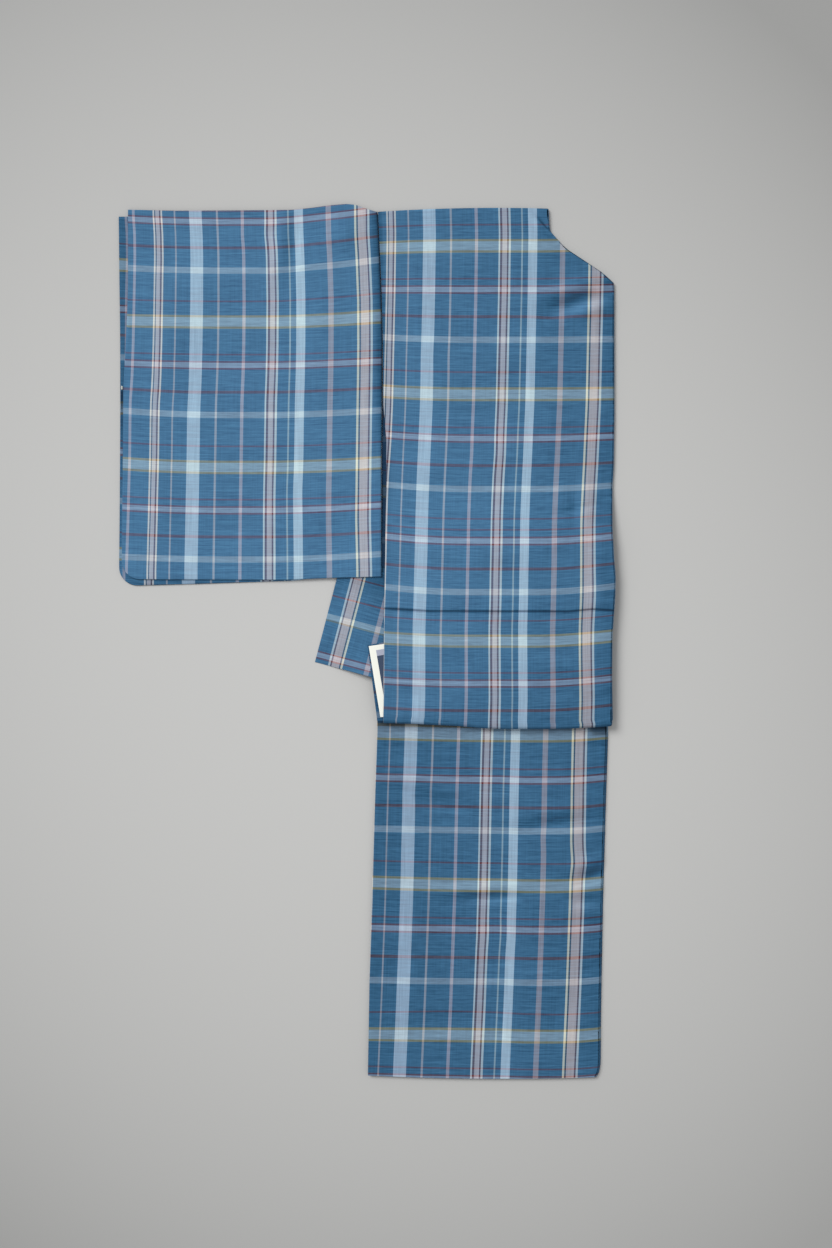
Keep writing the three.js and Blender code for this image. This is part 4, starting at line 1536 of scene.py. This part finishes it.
@dataclass
class Sleeve:
    """A flattened tube: two plies that are one piece at the shoulder fold and the lower seam.

    Around the tube, y goes from the fold to the seam on the upper ply and back on the lower one, with
    half-circle rims; across it, x goes from the wrist to the armhole seam. Its outside and its inside are
    two such surfaces, joined at both ends. At the wrist the inside stops at the mouth's lower end.
    """

    name: str
    node: str
    top: Table
    bottom: Table
    wrist: Table
    base: Callable[[np.ndarray, np.ndarray], np.ndarray]
    seam_gap: float
    material: bpy.types.Material
    shift: tuple[float, float] = (0.0, 0.0)
    lean: float = 0.0
    rim_light: float = 0.0
    light: float = 0.955
    slit_shade: float = 0.0
    creases: tuple[Crease, ...] = ()
    valley: float = 0.0
    shade: float = 0.0
    plies: tuple[float, float] = (340.0, 984.0)

    def _across(self) -> np.ndarray:
        """Shares of the way from the wrist to the armhole, close together at the rounded corner."""
        return np.unique(np.concatenate([[0, 0.001, 0.003], np.linspace(0.006, 0.09, 16),
                                         np.linspace(0.1, 0.9, 62), np.linspace(0.91, 1, 12)]))

    def _ends(self, share: np.ndarray) -> tuple[np.ndarray, np.ndarray]:
        """The y of the shoulder fold and of the lower seam, with its rounded corner at the wrist.

        Args:
            share: Share of the way from the wrist to the armhole.

        Returns:
            Two arrays of y.
        """
        wrist_x = float(self.wrist.straight(CORNER_Y))
        plan = wrist_x + (SEAM_X - wrist_x) * share
        past = np.clip(wrist_x + SLEEVE_CORNER - plan, 0, SLEEVE_CORNER)
        rise = SLEEVE_CORNER - np.sqrt(SLEEVE_CORNER**2 - past**2)
        return self.top.at(plan), self.bottom.at(plan) + rise

    def _surface(self, inset: float, low: float, high: float, mouth: bool) -> tuple[np.ndarray, np.ndarray]:
        """One of the tube's surfaces.

        Args:
            inset: How far it stays back from the fold and the seam.
            low: Height of its under side over the base.
            high: Height of its upper side over the base.
            mouth: Whether it is the inside, which stops at the mouth on the wrist's end.

        Returns:
            The points, and the cloth's painted light and shade.
        """
        share = self._across()[:, None]
        start, end = self._ends(share)
        start, end = start - inset, end + inset
        if mouth:
            end = np.where(share < 0.002, np.maximum(end, MOUTH_END_Y), end)
        radius = (high - low) / 2
        rim = np.linspace(0, np.pi / 2, 4)[:-1]
        inside = np.linspace(0, 1, 110)
        reach = start - end - 2 * radius
        ply = np.concatenate([
            start - radius * (1 - np.cos(rim)),
            start - radius - reach * inside,
            end + radius * (1 - np.cos(rim[::-1])),
        ], 1)
        up = np.concatenate([np.sin(rim), np.ones(len(inside)), np.sin(rim[::-1])])
        y = np.concatenate([ply, ply[:, -2:0:-1]], 1)
        side = np.concatenate([up, -up[-2:0:-1]])[None, :]
        wrist, edge = self.wrist.at(y), ARMHOLE_SEAM.at(y) - self.seam_gap
        x = wrist * (1 - share) + edge * share
        dip = self.valley * bell(x - edge, VALLEY_WIDTH) * smooth(y, 300, 360)
        lift = (relief(self.creases, x, y) - dip) * np.clip(side, 0, 1)
        z = self.base(x, y) + (low + high) / 2 + radius * side + lift
        painted_light = self._light_and_shade(x - wrist, edge - x, y, y - end)
        return np.stack([x, y, z], -1), painted_light * np.where(side > 0, window_side(self.creases, x, y, 1), 1)

    def _light_and_shade(self, from_wrist: np.ndarray, from_seam: np.ndarray, y: np.ndarray,
              from_bottom: np.ndarray) -> np.ndarray:
        """The sleeve's painted light: painted shade beside the armhole's seam and at the shoulder fold, a
        painted highlight along the lower rim, and painted shade in the slit under the mouth's tack.

        Args:
            from_wrist: Distance from the wrist.
            from_seam: Distance from the armhole's seam.
            y: Each point's y.
            from_bottom: Distance from the lower seam.

        Returns:
            The brightness.
        """
        beside = SEAM_SHADE_WIDE.at(from_seam, y) + SEAM_SHADE_NARROW.at(from_seam, y)
        rim = bell(np.minimum(from_wrist, from_bottom) - RIM_IN, RIM_WIDTH) * smooth(y, *RIM_Y)
        slit_shade = np.exp(-(((from_wrist - SLIT_IN) / SLIT_HALF) ** 4)) * smooth(y, *SLIT_TOP_Y)
        slit_shade = slit_shade * sum(share * smooth(y, start, end) for share, start, end in SLIT_SHARES)
        lit = self.light - FOLD_SHADE * smooth(y, 535, 576)
        return (1 - self.shade * beside + self.rim_light * rim) * lit * (1 - self.slit_shade * slit_shade)

    def build(self) -> bpy.types.Object:
        """Build and dress the sleeve.

        Returns:
            The piece.
        """
        outer, outer_light_and_shade = self._surface(0, 0, SLEEVE, False)
        inner, inner_light_and_shade = self._surface(CLOTH, CLOTH, SLEEVE - CLOTH, True)
        rows, columns = outer.shape[:2]
        number = np.arange(rows * columns).reshape(rows, columns)
        loop = np.concatenate([number, number[:, :1]], 1)
        inside = loop + rows * columns
        quads = np.concatenate([
            grid_faces(rows, columns, 0, True, True), grid_faces(rows, columns, rows * columns, False, True),
            rim_faces(loop[0], inside[0], True), rim_faces(loop[-1], inside[-1], False),
        ])
        points = np.concatenate([outer.reshape(-1, 3), inner.reshape(-1, 3)])
        uv = sleeve_uv(points[:, 0], points[:, 1]) + np.array(self.shift)
        uv[:, 0] += self.lean * smooth(points[:, 1], 100, 480)
        painted_light = np.concatenate([outer_light_and_shade.ravel(), inner_light_and_shade.ravel()])
        piece = make_object(self.name, points, quads, uv, painted_light)
        return Cloth(self.material, self.node, "check_silk", self.plies).dress(piece)


@dataclass
class MouthTack:
    """The thread tack that closes the lower sleeve's mouth: a flat winding of a few turns.

    The thread's middle is x + a cos t, y + pitch t / 2 pi, z + b sin t, and its skin lies about that at a
    radius that runs out at both ends.
    """

    thread: bpy.types.Material
    centre: tuple[float, float, float] = (-326.1, 337.4, SLEEVE + 0.9)
    half_width: float = 1.05
    half_height: float = 0.45
    pitch: float = 0.85
    turns: int = 5
    radius: float = 0.34

    def build(self) -> bpy.types.Object:
        """Build and dress the tack.

        Returns:
            The piece.
        """
        t = np.linspace(-np.pi * self.turns, np.pi * self.turns, 24 * self.turns + 1)
        rise = self.pitch / (2 * np.pi)
        size = np.array([self.half_width, rise, self.half_height])
        path = np.array(self.centre) + size * np.stack([np.cos(t), t, np.sin(t)], -1)
        ahead = size * np.stack([-np.sin(t), np.ones(len(t)), np.cos(t)], -1)
        ahead /= np.linalg.norm(ahead, axis=1, keepdims=True)
        first = np.cross(ahead, [0.0, 1.0, 0.0])
        first /= np.linalg.norm(first, axis=1, keepdims=True)
        second = np.cross(ahead, first)
        angle = np.linspace(0, 2 * np.pi, 8, endpoint=False)[None, :, None]
        reach = self.radius * np.sqrt(np.clip(1 - (t / t[-1]) ** 40, 0.01, 1))[:, None, None]
        skin = path[:, None] + reach * (np.cos(angle) * first[:, None] + np.sin(angle) * second[:, None])
        rows, columns = skin.shape[:2]
        cap = np.array([[0, 1, 2, 3], [0, 3, 4, 7], [4, 5, 6, 7]])
        last = cap + (rows - 1) * columns
        quads = np.concatenate([grid_faces(rows, columns, 0, True, True), cap[:, ::-1], last])
        piece = make_object("mouth_tack", skin.reshape(-1, 3), quads, None, None)
        piece.data.materials.append(self.thread)
        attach(piece, "root")
        return piece


# ---- The pieces at the waist ------------------------------------------------------------------------
@dataclass
class SidePiece:
    """A straight-edged piece that follows the slope from the floor onto the pile: corners anticlockwise from
    the lower left, points evenly between them. A covered one has painted shade, darker by that share, where
    it goes under the sleeve and the body."""

    name: str
    node: str
    corners: tuple[tuple[float, float], ...]
    rise: float
    material: bpy.types.Material
    slot: str
    place: Callable[[np.ndarray, np.ndarray], np.ndarray]
    count: tuple[int, int] = (40, 50)
    thickness: float = CLOTH
    # Painted shade over the whole piece, as a brightness.
    painted_light: float = 1.0
    covered: float = 0.0
    under_sleeve_y: tuple[float, float] = (58, 85)
    under_body: Patch = Patch(1.0, -25, 20, 20, 80)

    def build(self) -> bpy.types.Object:
        """Build and dress the piece.

        Returns:
            The piece.
        """
        corners = np.array(self.corners, float)
        width = np.linalg.norm(corners[1] - corners[0])
        height = np.linalg.norm(corners[3] - corners[0])
        u = edge_stops(0, width, self.count[0], self.thickness / 2)[None, :, None] / width
        v = edge_stops(height, 0, self.count[1], self.thickness / 2)[:, None, None] / height
        low = corners[0] * (1 - u) + corners[1] * u
        high = corners[3] * (1 - u) + corners[2] * u
        flat = low * (1 - v) + high * v
        x, y = flat[..., 0], flat[..., 1]
        middle = np.stack([x, y, pile_slope(x) + self.rise + self.thickness / 2], -1)
        out = np.broadcast_to([0.0, 0.0, 1.0], middle.shape)
        edge = np.minimum(np.minimum(u, 1 - u) * width, np.minimum(v, 1 - v) * height)[..., 0]
        covered = self.covered * (smooth(y, *self.under_sleeve_y) + self.under_body.at(x, y))
        wall = Wall(middle, out, self.thickness, self.place(x, y), np.broadcast_to(edge, x.shape),
                    self.painted_light * (1 - covered))
        area = 0.5 * abs(sum(a[0] * b[1] - b[0] * a[1] for a, b in zip(corners, np.roll(corners, -1, 0))))
        flat = (float(np.ptp(corners[:, 0])), float(np.ptp(corners[:, 1])))
        return Cloth(self.material, self.node, self.slot, flat, "laid", area).dress(wall.build(self.name))


COLLAR_CORNERS = ((-69.5, -27.3), (38.4, -55.8), (38.4, 92.6), (-38.1, 92.6))
FRONT_EDGE_CORNERS = ((13.7, -105.5), (25.0, -105.5), (25.0, -0.7), (0.8, -4.7))
LABEL_CORNERS = ((17.8, -100.0), (31.0, -100.0), (31.0, -1.9), (2.4, -6.0))


def turned_place(origin: tuple[float, float], degrees: float, across: tuple[float, float],
                 along: tuple[float, float]) -> Callable[[np.ndarray, np.ndarray], np.ndarray]:
    """A map from the frame to the bolt for a piece that lies turned.

    Args:
        origin: The point whose place on the bolt is known.
        degrees: How far the piece's own length is turned from +Y, clockwise.
        across: The place across the bolt there, and how it changes per millimetre to the right.
        along: The place along the bolt there, and how it changes per millimetre upwards.

    Returns:
        A function of x and y.
    """
    turn = np.radians(degrees)

    def place(x: np.ndarray, y: np.ndarray) -> np.ndarray:
        """Find the place of each point.

        Args:
            x: Each point's x.
            y: Each point's y.

        Returns:
            Millimetres across and along the bolt.
        """
        dx, dy = x - origin[0], y - origin[1]
        right = dx * np.cos(turn) - dy * np.sin(turn)
        up = dx * np.sin(turn) + dy * np.cos(turn)
        return np.stack([across[0] + across[1] * right, along[0] + along[1] * up], -1)

    return place


@dataclass
class WaistPieces:
    """The collar's end, the front's edge and the blank label that show at the waist."""

    collar_silk: bpy.types.Material
    shaded: bpy.types.Material
    tape: bpy.types.Material

    def build(self) -> list[bpy.types.Object]:
        """Build and dress the three pieces.

        Returns:
            The pieces.
        """
        collar = turned_place(COLLAR_CORNERS[0], 14.8, (354.1, -1.05), (68.9, -1.06))
        front = turned_place(FRONT_EDGE_CORNERS[3], -7.0, (262.0, 1.0), (30.0, -1.0))
        label = turned_place(LABEL_CORNERS[3], -9.5, (0.0, 1.0), (0.0, -1.0))
        step = CLOTH + GAP
        # The collar's end and the front's edge carry painted shade all over, the collar's end more where it
        # lies under the sleeve and the body.
        pieces = (
            SidePiece("collar_end_strip", "collar_end", COLLAR_CORNERS, 0, self.collar_silk, "check_silk",
                      collar, painted_light=0.84, covered=0.16),
            SidePiece("front_edge_fold", "front_edge", FRONT_EDGE_CORNERS, step, self.shaded, "inner_layers",
                      front, count=(10, 40), painted_light=0.72),
            SidePiece("sewn_label", "label", LABEL_CORNERS, 2 * step, self.tape, "label_tape", label,
                      count=(14, 40)),
        )
        return [piece.build() for piece in pieces]


# ---- The studio -------------------------------------------------------------------------------------
@dataclass
class Studio:
    """Grey paper, one large soft light from the upper left, a weak fill, and a camera straight above."""

    centre: tuple[float, float] = (65.0, 23.3)
    view_height: float = 1662.0
    lens: float = 50.0
    sensor: float = 36.0
    clip_end: float = 50.0
    floor_half: float = 12000.0
    floor_z: float = -0.05
    window_towards: tuple[float, float, float] = (-1.0, 0.86, 1.22)
    window_energy: float = 2.6
    window_degrees: float = 30.0
    room_colour: Colour = (0.80, 0.81, 0.83)
    room_strength: float = 0.75

    def build(self) -> None:
        """Put up the floor, the lights and the camera."""
        self._floor()
        self._window()
        self._room()
        self._camera()
        bpy.context.scene.view_settings.view_transform = "Standard"

    def _floor(self) -> None:
        """A plane just under the cloth."""
        signs = np.array([[-1, -1, 0], [1, -1, 0], [1, 1, 0], [-1, 1, 0]])
        points = signs * self.floor_half + np.array([0, 0, self.floor_z])
        floor = make_object("studio_floor", points, np.array([[0, 1, 2, 3]]), None, None)
        floor.data.materials.append(Backdrop().material())

    def _window(self) -> None:
        """A broad soft light from the upper left."""
        lamp = bpy.data.lights.new("window_light", "SUN")
        lamp.energy = self.window_energy
        lamp.angle = np.radians(self.window_degrees)
        holder = bpy.data.objects.new("window_light", lamp)
        holder.rotation_euler = Vector(self.window_towards).to_track_quat("Z", "Y").to_euler()
        bpy.context.scene.collection.objects.link(holder)

    def _room(self) -> None:
        """Even light from all round."""
        world = bpy.data.worlds.new("soft_room")
        world.use_nodes = True
        background = world.node_tree.nodes["Background"]
        background.inputs[0].default_value = (*self.room_colour, 1)
        background.inputs[1].default_value = self.room_strength
        bpy.context.scene.world = world

    def _camera(self) -> None:
        """A camera that looks straight down on the middle of the view."""
        data = bpy.data.cameras.new("overhead")
        data.lens = self.lens
        data.sensor_width = self.sensor
        data.clip_end = self.clip_end
        camera = bpy.data.objects.new("overhead", data)
        distance = self.view_height * self.lens / self.sensor
        camera.location = (self.centre[0] * MM, self.centre[1] * MM, distance * MM)
        bpy.context.scene.collection.objects.link(camera)
        bpy.context.scene.camera = camera


def main() -> None:
    """Build the kimono and the studio, and report each piece."""
    logging.basicConfig(level=logging.INFO, format="%(name)s: %(message)s")
    silk = CheckSilk("check_silk_looks").material()
    # A darker copy of the silk, whose darkness is painted shade, for the pieces that lie under others.
    shaded = CheckSilk("inner_layers_looks", shade=0.72).material()
    collar_silk = CheckSilk("collar_silk_looks", bands=COLLAR_BANDS).material()
    sleeves = [
        Sleeve("sleeve_left", "sleeve_upper", UPPER_SLEEVE_TOP, UPPER_SLEEVE_BOTTOM, UPPER_SLEEVE_WRIST,
               upper_sleeve_base, GAP, silk, creases=SLEEVE_CREASES, valley=1.5, shade=1.0),
        Sleeve("sleeve_right", "sleeve_lower", LOWER_SLEEVE_TOP, LOWER_SLEEVE_BOTTOM, LOWER_SLEEVE_WRIST,
               floor_base, 1.0, shaded, shift=(3.5, 73.6), lean=7.0, rim_light=0.5, slit_shade=0.64),
    ]
    pieces = [
        *FoldedBody(silk, shaded).build(),
        *(sleeve.build() for sleeve in sleeves),
        MouthTack(Thread().material()).build(),
        *WaistPieces(collar_silk, shaded, LabelTape().material()).build(),
    ]
    Studio().build()
    for piece in pieces:
        LOG.info("%s: %d faces", piece.name, len(piece.data.polygons))


if __name__ == "__main__":
    main()
